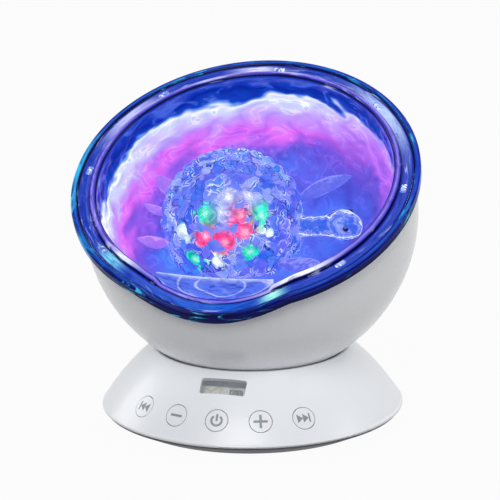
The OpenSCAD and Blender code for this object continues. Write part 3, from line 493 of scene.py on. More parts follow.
class WAVEPROJECTOR_OT_stage(bpy.types.Operator):
    """Sets up the pale floor, the soft lights and the camera"""
    bl_idname = "wave_projector.stage"
    bl_label = "Studio"

    # Place of each soft light in metres, its width in metres and its power in watts
    softboxes = {
        "front_softbox": ((0.1, -1.2, 1.05), 0.9, 14.0),
        "top_softbox": ((0.0, 0.1, 1.5), 0.9, 5.0),
        "left_softbox": ((-1.3, 0.25, 0.45), 0.7, 4.9),
        "right_softbox": ((1.3, 0.1, 0.5), 0.7, 5.0),
        "back_softbox": ((0.2, 1.2, 0.8), 0.7, 5.0),
    }
    lit_spot = Vector((0, 0, 0.07))
    sky_colour, sky_strength = (0.95, 0.97, 1, 1), 0.17
    # Half the floor's width in metres, and how much of its look is plain white
    floor_half, floor_white = 4.0, 0.96

    def execute(self, context):
        scene = context.scene
        scene.view_settings.view_transform = "Standard"
        self.make_camera(scene, scene.wave_projector_stage)
        self.make_world(scene)
        self.make_floor(scene)
        for name, (spot, size, power) in self.softboxes.items():
            self.make_lamp(scene, name, spot, size, power)
        return {"FINISHED"}

    def make_camera(self, scene, look):
        data = bpy.data.cameras.new("photo_camera")
        data.sensor_width = 36
        data.lens = look.lens
        data.shift_x = look.shift
        data.clip_end = 20
        camera = bpy.data.objects.new("photo_camera", data)
        scene.collection.objects.link(camera)
        a, e = look.azimuth, look.elevation
        back = Vector((math.sin(a) * math.cos(e), -math.cos(a) * math.cos(e), math.sin(e)))
        level = Vector((math.cos(a), math.sin(a), 0))
        rise = back.cross(level)
        right = level * math.cos(look.roll) - rise * math.sin(look.roll)
        up = rise * math.cos(look.roll) + level * math.sin(look.roll)
        turn = Matrix((right, up, back)).transposed().to_4x4()
        spot = Vector((0, 0, look.target_height)) + back * look.distance
        camera.matrix_world = Matrix.Translation(spot) @ turn
        scene.camera = camera

    def seen(self, tree):
        """One where the camera sees a surface itself, in a mirror or through glass."""
        path = tree.nodes.new("ShaderNodeLightPath")
        total = path.outputs["Is Camera Ray"]
        for name in ("Is Glossy Ray", "Is Transmission Ray"):
            more = tree.nodes.new("ShaderNodeMath")
            more.operation = "MAXIMUM"
            tree.links.new(total, more.inputs[0])
            tree.links.new(path.outputs[name], more.inputs[1])
            total = more.outputs["Value"]
        return total

    def make_world(self, scene):
        world = bpy.data.worlds.new("studio_world")
        scene.world = world
        world.use_nodes = True
        tree = world.node_tree
        tree.nodes.clear()
        shown = tree.nodes.new("ShaderNodeBackground")
        shown.inputs["Color"].default_value = (1, 1, 1, 1)
        shown.inputs["Strength"].default_value = 1.0
        light = tree.nodes.new("ShaderNodeBackground")
        light.inputs["Color"].default_value = self.sky_colour
        light.inputs["Strength"].default_value = self.sky_strength
        both = tree.nodes.new("ShaderNodeMixShader")
        out = tree.nodes.new("ShaderNodeOutputWorld")
        tree.links.new(self.seen(tree), both.inputs["Fac"])
        tree.links.new(light.outputs[0], both.inputs[1])
        tree.links.new(shown.outputs[0], both.inputs[2])
        tree.links.new(both.outputs[0], out.inputs["Surface"])

    def make_floor(self, scene):
        mesh = bpy.data.meshes.new("studio_floor")
        half = self.floor_half
        corners = [(-half, -half, 0), (half, -half, 0), (half, half, 0), (-half, half, 0)]
        mesh.from_pydata(corners, [], [(0, 1, 2, 3)])
        floor = bpy.data.objects.new("studio_floor", mesh)
        scene.collection.objects.link(floor)
        f = Finish("floor_white").set(Roughness=0.9, Specular_IOR_Level=0.1)
        f.colour(f.ramp(f.noise(6, 2), [(LOW_NOISE, (0.26, 0.26, 0.27)), (HIGH_NOISE, (0.3, 0.3, 0.3))]))
        white = f.node("Emission", Strength=1.0)
        both = f.node("MixShader", Fac=f.math("MULTIPLY", self.seen(f.tree), self.floor_white))
        f.join(f.shader.outputs["BSDF"], both.inputs[1])
        f.join(white.outputs[0], both.inputs[2])
        f.join(both.outputs[0], f.out.inputs["Surface"])
        mesh.materials.append(f.material)

    def make_lamp(self, scene, name, spot, size, power):
        data = bpy.data.lights.new(name, "AREA")
        data.shape = "DISK"
        data.size = size
        data.energy = power
        lamp_object = bpy.data.objects.new(name, data)
        scene.collection.objects.link(lamp_object)
        turn = (self.lit_spot - Vector(spot)).to_track_quat("-Z", "Y")
        lamp_object.matrix_world = Matrix.Translation(spot) @ turn.to_matrix().to_4x4()


class WAVEPROJECTOR_OT_finishes(bpy.types.Operator):
    """Gives every solid of the part the finish of its material slot"""
    bl_idname = "wave_projector.finishes"
    bl_label = "Finishes"
    # The board behind the remote control window gets the white lacquered board finish instead of its slot's, so
    # that it shows pale through the window: painted light for the lit inside.
    pale_board = {"infrared_board": "board_white"}

    def execute(self, context):
        made = {}
        for node, solid in frame["nodes"].items():
            slot = self.pale_board.get(node, SLOT_OF[node])
            if slot not in made:
                build = FINISHES.get(slot, moulded)
                made[slot] = build(slot, SLOT_COLOUR[slot]).material
            solid.data.materials.clear()
            solid.data.materials.append(made[slot])
        return {"FINISHED"}


class WAVEPROJECTOR_OT_wave_bowl(bpy.types.Operator):
    """Builds the clear wave bowl: rippled hollow, flange, lip, rim band, spout and snap hooks"""
    bl_idname = "wave_projector.wave_bowl"
    bl_label = "Wave bowl"
    turns = 480
    # How far the floor reaches in under the shell, and the height up to which it is left out there
    seat_width, seat_height = 6.2, 4

    def execute(self, context):
        look = context.scene.wave_projector_head
        azimuths = np.linspace(0, 2 * math.pi, self.turns, endpoint=False)
        for piece in (self.make_hollow(azimuths, look), self.make_flange(azimuths, look),
                      self.make_lip(azimuths, look), self.make_band(azimuths, look), self.make_spout(look)):
            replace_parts(piece, "wave_bowl")
        self.make_hooks(look)
        return {"FINISHED"}

    def open_floor(self, points, faces):
        """Leaves out the part of the floor that the turtle's shell stands on."""
        away = np.hypot(points[:, 0] - SHELL[0], points[:, 1] - SHELL[1])
        hidden = (away < SHELL_R - self.seat_width) & (points[:, 2] < FLOOR + self.seat_height)
        return [f for f in faces if not all(hidden[i] for i in f)]

    def make_hollow(self, azimuths, look):
        """The clear inner wall with its water ripples, lit from behind in bands of colour."""
        count = 96
        height = look.ripple_height / MM
        # Circle of noise that the ripples follow round the bowl, their length down the wall in millimetres,
        # the points over which they fade in below the lip, and the finer ripples on top
        noise_r, wave_length, fade_in = 9, 3.6, 5
        finer, offset = 2.3, Vector((5, 1, 2))

        def section(a):
            drop = float(dip_at(MOUTH_R * math.sin(a), -math.cos(a)))
            r, z, nr, nz, length = wall_section(drop, count)
            for k in range(count):
                at = Vector((noise_r * math.sin(a), noise_r * math.cos(a), length[k] / wave_length))
                wave = noise.noise(at) + 0.5 * noise.noise(at * finer + offset)
                lift = height * wave * min(1.0, k / fade_in)
                r[k] += nr[k] * lift
                z[k] += nz[k] * lift
            return r, z

        points = turned(azimuths, section)
        faces = self.open_floor(points, grid_faces(len(azimuths), count))
        return add_head_piece("wave_hollow", points, faces, self.water_finish(look))

    def water_finish(self, look):
        """Bands of light by depth: dark blue under the lip, white, lilac, pink, violet and a blue floor."""
        f = Finish("lit_water", on_head=True).set(Roughness=0.14, Specular_IOR_Level=0.06, Coat_Weight=0.04)
        x, y, z = f.axes()
        swell = f.noise(1, 2, 0.5, 0.5, f.stretch((42, 42, 110)))
        ripple = f.noise(1, 1.0, 0.4, 0.5, f.stretch((84, 84, 160)))
        glint = f.noise(1, 1.4, 0.45, 1.3, f.stretch((84, 84, 190)))
        waves = f.math("ADD", f.sway(swell, -0.0028, 0.0028), f.sway(ripple, -0.0018, 0.0018))
        level = f.math("ADD", z, waves)
        depth = f.span(level, -0.022, 0.018)
        pale = f.tints(
            depth, (0.0, 84, 128, 240), (0.1, 88, 100, 228), (0.2, 104, 84, 214), (0.29, 148, 92, 226),
            (0.38, 222, 108, 240), (0.45, 204, 132, 248), (0.53, 196, 162, 252), (0.61, 210, 200, 250),
            (0.67, 208, 218, 248), (0.71, 250, 250, 255), (0.74, 120, 164, 246), (0.775, 20, 66, 190),
            (0.85, 8, 40, 158), (0.92, 18, 58, 182), (1.0, 84, 96, 204))
        deep = f.tints(
            depth, (0.0, 64, 104, 230), (0.14, 72, 88, 214), (0.25, 86, 80, 204), (0.36, 112, 84, 212),
            (0.47, 168, 100, 230), (0.58, 190, 114, 242), (0.69, 196, 146, 248), (0.73, 150, 140, 240),
            (0.78, 26, 70, 190), (0.88, 12, 52, 165), (1.0, 110, 98, 208))
        # Paler light on the left, deeper violet and blue light on the right, and bluer light at the front: painted
        # light.
        side = f.span(f.math("ADD", x, f.sway(swell, -0.01, 0.01)), 0.012, 0.046)
        water = f.mix(side, pale, deep)
        front = f.math("MULTIPLY", f.span(y, -0.036, -0.02, 1.0, 0.0), f.span(level, 0.0, 0.006, 0.8, 0.0))
        water = f.mix(front, water, srgb(110, 112, 228))
        # Painted glints: the water's light made paler and darker along the ripples.
        sparkle = f.ramp(glint, [
            (0.3, (0.78, 0.8, 0.88)), (0.46, (0.98, 0.98, 1.0)), (0.56, (1.0, 1.0, 1.0)),
            (0.62, (1.3, 1.3, 1.2)), (0.66, (0.92, 0.92, 0.96))])
        water = f.mix(1.0, water, sparkle, "MULTIPLY")
        # Lighter blue streaks in the dark band under the lip: painted glints.
        light_streak = f.math("MULTIPLY", f.span(level, 0.008, 0.011), f.span(glint, 0.56, 0.66))
        water = f.mix(f.math("MULTIPLY", light_streak, 0.45), water, srgb(80, 124, 240))
        f.lit(water, look.glow)
        f.bump(ripple, 0.35, 0.001)
        return f

    def rim_finish(self, name, look, pale=srgb(206, 210, 246), share=0.6):
        """Clear rim plastic: the painted section of light and shade, with long streaks of painted shade and
        painted highlights that follow the ring.
        """
        f = Finish(name, on_head=True)
        f.set(Roughness=0.1, Specular_IOR_Level=0.04, Coat_Weight=0.04, Coat_Roughness=0.02)
        along = f.attribute("flow", "Vector")
        light_streak = f.noise(1.0, 3, 0.55, 0.8, along)
        patch = f.noise(0.45, 1, 0.5, 0.3, along)
        shade = f.ramp(light_streak, [
            (0.3, (0.4, 0.36, 0.55)), (0.45, (0.9, 0.9, 1.0)), (0.55, (1.15, 1.2, 1.1)),
            (0.7, (0.75, 0.75, 0.9))])
        hue = f.mix(1.0, f.attribute("lit", "Color"), shade, "MULTIPLY")
        # Painted highlights in the pale colour where the streaks and patches are bright.
        bright = f.math("MULTIPLY", f.span(light_streak, 0.53, 0.64), f.span(patch, 0.5, 0.64))
        f.lit(f.mix(f.math("MULTIPLY", bright, share), hue, pale), look.glow)
        f.bump(light_streak, 0.15, 0.0005)
        return f

    def ring(self, name, azimuths, section, colours, finish, arcs, run):
        """A ring turned from a section whose points each have their own colour of painted light and shade. Arcs of
        other painted light and shade lie on a run of the points, each with its azimuth, width and colour."""
        points = turned(azimuths, section)
        count = len(colours)
        piece = add_head_piece(name, points, grid_faces(len(azimuths), count), finish)
        painted = np.tile([srgb(*c)[:3] for c in colours], (len(azimuths), 1))
        turn, radius = np.repeat(azimuths, count), np.hypot(points[:, 0], points[:, 1])
        order = np.tile(np.arange(count), len(azimuths))
        between = (order >= run[0]) & (order < run[1])
        for middle, width, colour in arcs:
            off = turn - math.radians(middle)
            away = np.degrees(np.arctan2(np.sin(off), np.cos(off)))
            share = (np.exp(-(away / width) ** 2) * between)[:, None]
            painted = painted * (1 - share) + share * np.array(srgb(*colour)[:3])
        paint(piece, painted)
        # Streaks run long round the ring and short across it
        around, across = 7, 0.75
        flow = [around * np.sin(turn), around * np.cos(turn), across * (radius + points[:, 2])]
        set_flow(piece, np.stack(flow, -1))
        return piece

    def make_band(self, azimuths, look):
        """The outer band of the rim, with rounded corners."""
        # Radius of the corners, and heights of the points up the outer face
        edge, face = 0.9, [15.2, 15.9, 16.7]
        corner = np.linspace(0, math.pi / 2, 6)
        r = np.concatenate([
            [BAND_IN_R, BAND_IN_R + 0.8], RIM_R - edge + edge * np.sin(corner), [RIM_R] * len(face),
            RIM_R - edge + edge * np.cos(corner), [BAND_IN_R + 1.2, BAND_IN_R + 0.5, BAND_IN_R]])
        z = np.concatenate([
            [RIM_LOW + 0.6, RIM_LOW], RIM_LOW + edge - edge * np.cos(corner), face,
            RIM_TOP - edge + edge * np.sin(corner), [RIM_TOP, RIM_TOP - 0.2, FLANGE_TOP]])
        # Section colours of painted light and shade: near black at the edges and corners, a hazy light line on the
        # lower corner and blue light between.
        black, navy, royal, sea, hazy_light = (2, 2, 30), (5, 14, 86), (8, 42, 160), (18, 84, 196), (60, 80, 160)
        below = [navy, navy, hazy_light, hazy_light, navy, navy, black, black]
        above = [royal, navy, black, navy, royal, royal, sea, navy, black]
        colours = below + [black, navy, navy] + above

        def section(a):
            return r.copy(), z - dip_at(RIM_R * math.sin(a), -math.cos(a))

        finish = self.rim_finish("rim_band_blue", look, tuple(look.rim_light) + (1.0,), 0.8)
        # Arcs of painted light: a cyan glint on the left and lighter blues, with painted shade over the front.
        arcs = [(268, 11, (44, 176, 230)), (306, 5, (20, 120, 196)), (98, 10, (10, 50, 180)),
                (0, 26, (2, 4, 66))]
        return self.ring("wave_rim_band", azimuths, section, colours, finish, arcs, (6, 18))

    def make_flange(self, azimuths, look):
        """The flat flange between band and lip, with a low swell in its middle."""
        r = np.array([BAND_IN_R + 0.02, BAND_IN_R - 0.5, 69.0, 68.2, 67.4, 66.6, 65.8,
                      LIP_R + LIP_HALF, MOUTH_R])
        z = FLANGE_TOP + np.array([0.25, 0.0, 0.05, 0.14, 0.18, 0.14, 0.05, 0.0, 0.0])
        # Painted shade at both edges of the flange, and the blue of the light across it.
        colours = [(3, 4, 48), (14, 48, 160), (40, 62, 184), (22, 60, 176), (14, 60, 170), (60, 72, 192),
                   (30, 50, 168), (4, 8, 64), (40, 44, 150)]

        def section(a):
            return r.copy(), z - dip_at(r * math.sin(a), -math.cos(a) * np.ones_like(r))

        finish = self.rim_finish("flange_streaks", look, share=0.5)
        # Arcs of painted highlights: pale reflections at the back and sides, teal and cyan glints on either side
        # of the front, and bluer light in the dip.
        arcs = [(130, 16, (176, 196, 244)), (240, 11, (186, 190, 244)), (188, 7, (206, 206, 242)),
                (0, 20, (22, 92, 206)), (22, 3.5, (160, 246, 232)), (318, 5, (120, 206, 240))]
        return self.ring("wave_flange", azimuths, section, colours, finish, arcs, (2, 7))

    def make_lip(self, azimuths, look):
        """The round lip, which runs out on both sides of the dip."""
        top = LIP_TOP - LIP_HALF
        turn = np.linspace(0, math.pi, 13)
        r = np.concatenate([[LIP_R + LIP_HALF], LIP_R + LIP_HALF * np.cos(turn), [MOUTH_R]])
        z = np.concatenate([[FLANGE_TOP], top + LIP_HALF * np.sin(turn), [FLANGE_TOP]])
        # Painted shade along both edges of the lip, and lilac light over its top.
        dark, violet, lilac = (4, 7, 58), (76, 70, 190), (116, 98, 210)
        colours = [dark, dark, dark, (30, 46, 154), violet, lilac, (142, 126, 226), lilac, violet,
                   (40, 52, 164), dark, dark, (24, 44, 150), (36, 66, 180), (50, 80, 196)]
        # Distances from the middle between which an end sinks, the share that sinks, and down to where
        end_from, end_to, sink, low = 22.0, 25.0, 0.97, FLANGE_TOP + 0.05

        def section(a):
            x, front = LIP_R * math.sin(a), math.cos(a) > 0
            end = 1 - float(smooth(end_from, end_to, abs(x))) if front else 0.0
            drop = dip_at(r * math.sin(a), -math.cos(a) * np.ones_like(r))
            return r.copy(), low + (z - low) * (1 - sink * end) - drop

        finish = self.rim_finish("lip_lilac", look, share=0.6)
        # Painted highlights: a white line by the right end of the dip, and paler ones by its left end and at the
        # back.
        arcs = [(33, 11, (252, 254, 255)), (322, 6, (232, 236, 254)), (205, 8, (190, 190, 244))]
        return self.ring("wave_lip", azimuths, section, colours, finish, arcs, (4, 9))

    def make_spout(self, look):
        """The clear slope in the dip, from a straight inner edge between the lip's ends out to the flange."""
        across, deep = 141, 41
        half, bow, sag = 24.5, 1.2, 1.1
        outer_r = MOUTH_R + 0.6
        inner_y = -math.sqrt(MOUTH_R ** 2 - half ** 2)
        points, shades, places = [], [], []
        for x in np.linspace(-half, half, across):
            inner = np.array([x, inner_y + bow * (x / half) ** 2, FLANGE_TOP + 0.4])
            outer_z = FLANGE_TOP + 0.1 - float(dip_at(x, -1.0))
            outer = np.array([x, -math.sqrt(outer_r ** 2 - x * x), outer_z])
            for s in np.linspace(0, 1, deep):
                spot = inner * (1 - s) + outer * s
                spot[2] -= sag * math.sin(math.pi * s) * (1 - (x / half) ** 2)
                points.append(spot)
                places.append((0.16 * x, 0.35 * s, 5.0 * s))
                shades.append(self.spout_light(x, s))
        shades = np.array(shades)[:, None]
        slope, pale = np.array(srgb(84, 112, 230)[:3]), np.array(srgb(226, 232, 254)[:3])
        finish = self.rim_finish("spout_lilac", look, srgb(186, 176, 250), 0.5)
        faces = grid_faces(across, deep, closed=False)
        piece = add_head_piece("wave_spout", points, faces, finish)
        paint(piece, slope * (1 - shades) + pale * shades)
        set_flow(piece, places)
        return piece

    def spout_light(self, x, s):
        """Pale light on the spout: its inner edge, oval ring lines and its right end."""
        ring_x, ring_s, wide, deep = 3, 0.36, 2.6, 9
        rings = math.hypot((x - ring_x) / wide, deep * (s - ring_s))
        wobble = 0.8 * math.sin(0.37 * x + 4 * s)
        line = 0.6 * max(0.0, math.cos(1.7 * rings + wobble)) ** 16
        inner_edge = (1 - s) ** 14
        right_end = 0.9 * float(smooth(20, 24, x)) * (1 - s)
        return max(inner_edge, line, right_end)

    def make_hooks(self, look):
        """Snap hooks that show through the flange as small cut blocks."""
        f = Finish("hook_clear", on_head=True).set(Roughness=0.05, Coat_Weight=1.0)
        facet = f.noise(520, 2, distortion=1.5)
        # The facets are painted light: dark blue, blue and white glints, which the hooks also give off as their
        # own glow.
        hue = f.tints(
            facet, (0.36, 20, 50, 150), (0.46, 96, 150, 236), (0.54, 40, 80, 190), (0.62, 236, 246, 255))
        f.colour(f.mix(0.7, hue, BLACK))
        f.glow(hue, look.glow)
        outline = [(-2.1, -1.2), (2.1, -1.2), (2.5, 0.0), (2.1, 1.2), (-2.1, 1.2), (-2.5, 0.0)]
        n = len(outline)
        # Size of the outline and its height over the flange at each level
        levels = ((1.0, 0.02), (1.0, 0.37), (0.72, 0.64))
        points, faces = [], []
        for azimuth in HOOK_AZIMUTHS:
            a = math.radians(azimuth)
            out = np.array([math.sin(a), -math.cos(a), 0])
            along = np.array([math.cos(a), math.sin(a), 0])
            base = len(points)
            for grow, lift in levels:
                middle = out * HOOK_R + np.array([0, 0, FLANGE_TOP + lift])
                points += [middle + grow * (u * along + v * out) for u, v in outline]
            faces += round_faces(base, len(levels), n)
            faces.append(tuple(range(len(points) - n, len(points))))
        add_head_piece("wave_hooks", points, faces, f, flat=True)


class WAVEPROJECTOR_OT_turtle(bpy.types.Operator):
    """Builds the clear turtle: pebbled shell, head with eyes, flippers and tail"""
    bl_idname = "wave_projector.turtle"
    bl_label = "Turtle"

    # Lamp colours and the reach of a patch, with the directions from the middle of the shell in which their
    # light leaves it
    glows = {
        (248, 64, 140, 0.125): (
            (-0.13, -0.85, 0.51), (0.34, -0.61, 0.72), (0.41, -0.74, 0.53), (0.15, -0.88, 0.44)),
        (6, 214, 178, 0.14): (
            (-0.15, -0.64, 0.75), (0.61, -0.49, 0.62), (-0.32, -0.94, 0.12), (0.47, -0.84, 0.25)),
        (222, 246, 255, 0.11): ((-0.48, -0.74, 0.46), (0.71, -0.59, 0.38), (0.03, -0.99, 0.16)),
        (166, 172, 240, 0.13): ((0.16, -0.42, 0.89), (0.42, -0.36, 0.83), (0.1, -0.62, 0.78)),
    }
    # Reach and strength of the pale heart of each patch
    heart_reach, heart_share = 0.05, 0.4

    def execute(self, context):
        look = context.scene.wave_projector_head
        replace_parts(self.make_shell(look), "turtle")
        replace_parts(self.make_head(self.clear_finish(look)), "turtle")
        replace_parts(self.make_flippers(self.leg_finish(look)), "turtle")
        self.make_eyes()
        return {"FINISHED"}

    def pebble_ways(self):
        """Directions of the pebbles: a spiral that gives each of them the same room."""
        golden_angle, first = math.radians(137.508), 0.36
        drop = PEBBLE_PITCH ** 2 / (2 * math.pi * SHELL_R ** 2)
        k = np.arange(int((1 - PEBBLE_LOW) / drop))
        level, turn = 1 - (k + first) * drop, golden_angle * k
        flat = np.sqrt(1 - level ** 2)
        return np.stack([flat * np.cos(turn), flat * np.sin(turn), level], -1)

    def dome(self, rounds, rings, radius):
        """Directions and places of a dome that goes over into an upright wall down to the floor."""
        full_fall = math.radians(112)
        ways, places = [], []
        for k in range(rounds):
            a = 2 * math.pi * k / rounds
            for j in range(rings):
                fall = full_fall * j / (rings - 1)
                level = max(math.cos(fall), (FLOOR - SHELL[2]) / SHELL_R)
                flat = math.sin(fall) if fall < math.pi / 2 else 1.0
                way = np.array((flat * math.cos(a), flat * math.sin(a), level))
                ways.append(way / np.linalg.norm(way))
                places.append(SHELL + way * radius)
        return np.array(ways), np.array(places)

    def make_shell(self, look):
        """The clear shell, moulded in rounded pebbles, with the lamps' light where it leaves."""
        rounds, rings = 320, 130
        seam_in, seam_out, floor_gap = PEBBLE_EDGE - 0.6, PEBBLE_EDGE + 0.7, 0.1
        ways, points = self.dome(rounds, rings, SHELL_R)
        away = SHELL_R * np.sqrt(np.clip(2 - 2 * ways @ self.pebble_ways().T, 0, None)).min(axis=1)
        crown = look.pebble_height / MM * np.clip(1 - (away / PEBBLE_EDGE) ** 2, 0, None)
        seam = look.seam_depth / MM * smooth(seam_in, seam_out, away)
        points += ways * (crown - seam)[:, None]
        points[:, 2] = np.maximum(points[:, 2], FLOOR + floor_gap)
        faces = grid_faces(rounds, rings)
        shell = add_head_piece("turtle_shell", points, faces, self.shell_finish(look))
        paint(shell, self.lamp_light(ways))
        return shell

    def lamp_light(self, ways):
        """Colour of the lamps' light at each direction, with its share as a fourth column."""
        light, none = np.zeros_like(ways), 1e-6
        total, hearts = np.zeros((len(ways), 1)), np.zeros((len(ways), 1))
        for (red, green, blue, reach), places in self.glows.items():
            for place in places:
                near = np.linalg.norm(ways - np.array(place), axis=1)[:, None]
                core = np.exp(-(near / reach) ** 2)
                light += core * np.array(srgb(red, green, blue)[:3])
                total += core
                hearts += np.exp(-(near / self.heart_reach) ** 2)
        colours = light / np.maximum(total, none) + self.heart_share * np.clip(hearts, 0, 1)
        return np.hstack([colours, np.clip(total, 0, 1)])

    def shell_finish(self, look):
        """Curled lines of light and dark as in thick pebbled glass, under patches of lamp light."""
        f = Finish("pebbled_shell", on_head=True)
        f.set(Roughness=0.07, Specular_IOR_Level=0.06, Coat_Weight=0.05)
        curl = f.noise(78, 2.2, 0.5, 1.4)
        bent = f.warp(120, 0.011)
        facet_scale = 205
        facet = f.cells(facet_scale, where=bent, output="Color")
        tint = f.tints(
            facet, (0.2, 34, 78, 220), (0.34, 58, 126, 242), (0.42, 88, 96, 236), (0.5, 116, 110, 242),
            (0.58, 70, 162, 246), (0.68, 148, 136, 248), (0.82, 178, 198, 255))
        swirl = f.tints(
            f.noise(60, 1, 0.5, 1.0), (0.36, 62, 110, 236), (0.48, 104, 112, 238), (0.56, 124, 128, 242),
            (0.66, 86, 152, 240))
        shade = f.ramp(curl, [
            (0.3, (0.7, 0.74, 0.86)), (0.42, (1.0, 1.0, 1.0)), (0.46, (0.72, 0.76, 0.9)),
            (0.52, (1.12, 1.1, 1.04)), (0.57, (0.82, 0.86, 0.94)), (0.68, (1.15, 1.15, 1.05))])
        glass = f.mix(1.0, f.mix(0.5, tint, swirl), shade, "MULTIPLY")
        # A paler middle of the shell: painted light.
        middle = f.span(f.away((-0.0025, -0.017, 0.0096)), 0.011, 0.019, 0.4, 0.0)
        glass = f.mix(middle, glass, srgb(158, 166, 244))
        # Dark seam lines as painted shade, and white lines beside them as painted highlights.
        seam = f.cells(facet_scale, "DISTANCE_TO_EDGE", bent)
        dark = f.math("MULTIPLY", f.span(seam, 0.02, 0.05, 1.0, 0.0), f.span(curl, 0.42, 0.56, 0.0, 0.85))
        glass = f.mix(dark, glass, srgb(30, 42, 140))
        line = f.ramp(seam, [(0.05, (0, 0, 0)), (0.085, (0.9, 0.9, 0.9)), (0.15, (0, 0, 0))])
        lines = f.math("MULTIPLY", line, f.span(f.noise(150, 1), 0.49, 0.62))
        glass = f.mix(lines, glass, srgb(230, 240, 255))
        share = f.math("ADD", f.attribute("lit", "Alpha"), f.span(facet, 0.25, 0.75, -0.3, 0.3))
        spread = f.ramp(f.noise(170, 2, 0.5, 1.2), [
            (0.34, (0.6, 0.6, 0.7)), (0.44, (1.05, 1.05, 1.05)), (0.49, (0.7, 0.7, 0.78)),
            (0.53, (1.7, 1.7, 1.6)), (0.57, (0.85, 0.85, 0.9)), (0.66, (1.5, 1.5, 1.4))])
        lamps = f.mix(1.0, f.attribute("lit", "Color"), spread, "MULTIPLY")
        f.lit(f.mix(f.span(share, 0.36, 0.56), glass, lamps), look.glow)
        f.bump(curl, 0.5, 0.001)
        return f

    def edge_lit_clear(self, name, sway):
        """Clear plastic with a flow noise in its surface: the finish, and how far a place turns away, swayed by
        the flow, for ramps of painted highlights and dark edge lines.
        """
        f = Finish(name, on_head=True).set(Roughness=0.05, Specular_IOR_Level=0.15, Coat_Weight=0.1)
        flow = f.noise(170, 3, 0.55, 1.6)
        f.bump(flow, 0.5, 0.001)
        return f, f.math("ADD", f.facing(0.35), f.sway(flow, -sway, sway))

    def leg_finish(self, look):
        """Takes the light of the water around it: blue on the right, violet and pink on the left."""
        f, turn = self.edge_lit_clear("leg_clear_tint", 0.16)
        blue = f.tints(
            turn, (0.0, 84, 96, 222), (0.3, 98, 104, 226), (0.44, 140, 152, 240), (0.54, 118, 112, 228),
            (0.64, 92, 56, 160), (0.74, 62, 66, 190), (0.86, 150, 160, 240), (1.0, 44, 44, 150))
        violet = f.tints(
            turn, (0.0, 150, 106, 228), (0.3, 168, 112, 234), (0.44, 206, 152, 244), (0.54, 156, 104, 226),
            (0.72, 84, 52, 150), (0.86, 196, 146, 240), (1.0, 58, 24, 104))
        f.lit(f.mix(f.span(f.axes()[0], -0.03, -0.02, 1.0, 0.0), blue, violet), look.glow)
        return f

    def clear_finish(self, look):
        """Clear blue-tinted plastic with painted highlights and dark lines by how far it turns away."""
        f, turn = self.edge_lit_clear("turtle_clear_tint", 0.22)
        f.lit(f.tints(
            turn, (0.0, 52, 98, 222), (0.16, 80, 112, 228), (0.26, 150, 168, 244), (0.33, 66, 82, 204),
            (0.4, 228, 238, 255), (0.47, 236, 244, 255), (0.53, 112, 146, 240), (0.66, 40, 52, 166),
            (0.8, 232, 240, 255), (1.0, 20, 26, 112)), look.glow)
        return f

    def tube(self, places, radii, sides=28):
        """A closed round body along a line of places."""
        places = np.asarray(places, float)
        points = []
        for k, r in enumerate(radii):
            ahead = places[min(k + 1, len(places) - 1)] - places[max(k - 1, 0)]
            ahead = ahead / np.linalg.norm(ahead)
            side = np.cross(ahead, (0, 0, 1.0))
            side /= np.linalg.norm(side)
            rise = np.cross(side, ahead)
            for s in range(sides):
                a = 2 * math.pi * s / sides
                points.append(places[k] + r * (math.cos(a) * side + math.sin(a) * rise))
        return points, closed_faces(0, len(radii), sides)

    def make_head(self, finish):
        """Neck, rounded head and blunt snout in one flowing form."""
        start = SHELL + np.array([SHELL_R - NECK_INSIDE, 0, -NECK_DROP])
        along = np.array([0.0, 4, 8, 12, 15, 17.2, 19, 21, 23, 25, 26.4, 27.2, 27.6])
        radii = [4.6, 4.3, 4.1, 4.3, 5.2, 6.1, 6.5, 6.4, 5.7, 4.7, 3.6, 2.3, 0.6]
        lift = [0, 0.2, 0.6, 1.2, 1.9, 2.4, 2.5, 2.3, 1.7, 1.0, 0.5, 0.3, 0.2]
        places = [start + np.array([x, 0, z]) for x, z in zip(along, lift)]
        points, faces = self.tube(places, radii)
        return add_head_piece("turtle_head", points, faces, finish)

    def make_eyes(self):
        """Two small dark domes on the sides of the head."""
        f = Finish("eye_dark", on_head=True).set(Roughness=0.08, Coat_Weight=1.0)
        f.colour(f.tints(f.noise(900, 2), (0.4, 24, 20, 70), (0.7, 60, 56, 130)))
        rings, sides = 7, 16
        points, faces = [], []
        for side in (-1, 1):
            middle = TURTLE_HEAD + np.array([EYE_AHEAD, side * EYE_ASIDE, EYE_UP])
            base = len(points)
            for j in range(rings):
                fall = math.pi / 2 * j / (rings - 1)
                flat, out = EYE_R * math.sin(fall), EYE_BULGE * math.cos(fall)
                for k in range(sides):
                    a = 2 * math.pi * k / sides
                    points.append(middle + np.array([flat * math.cos(a), side * out, flat * math.sin(a)]))
            faces += round_faces(base, rings, sides)
        add_head_piece("turtle_eyes", points, faces, f)

    def make_flippers(self, finish):
        """Flippers, hind legs and tail: rounded leaves that lift towards their tips."""
        fin_z = FLOOR + 4.8
        # Root as a share of the shell's radius, height, turn in degrees, length, width and rise in degrees
        leaves = [
            ((0.78, -0.62), fin_z, -24, 25, 10, 12),
            ((0.78, 0.62), fin_z, 24, 25, 10, 12),
            ((-0.86, -0.46), fin_z + 3, 205, 14, 8, 30),
            ((-0.86, 0.46), fin_z + 3, 155, 14, 8, 30),
            ((-0.96, 0.033), fin_z + 5, 175, 11, 5, 25),
        ]
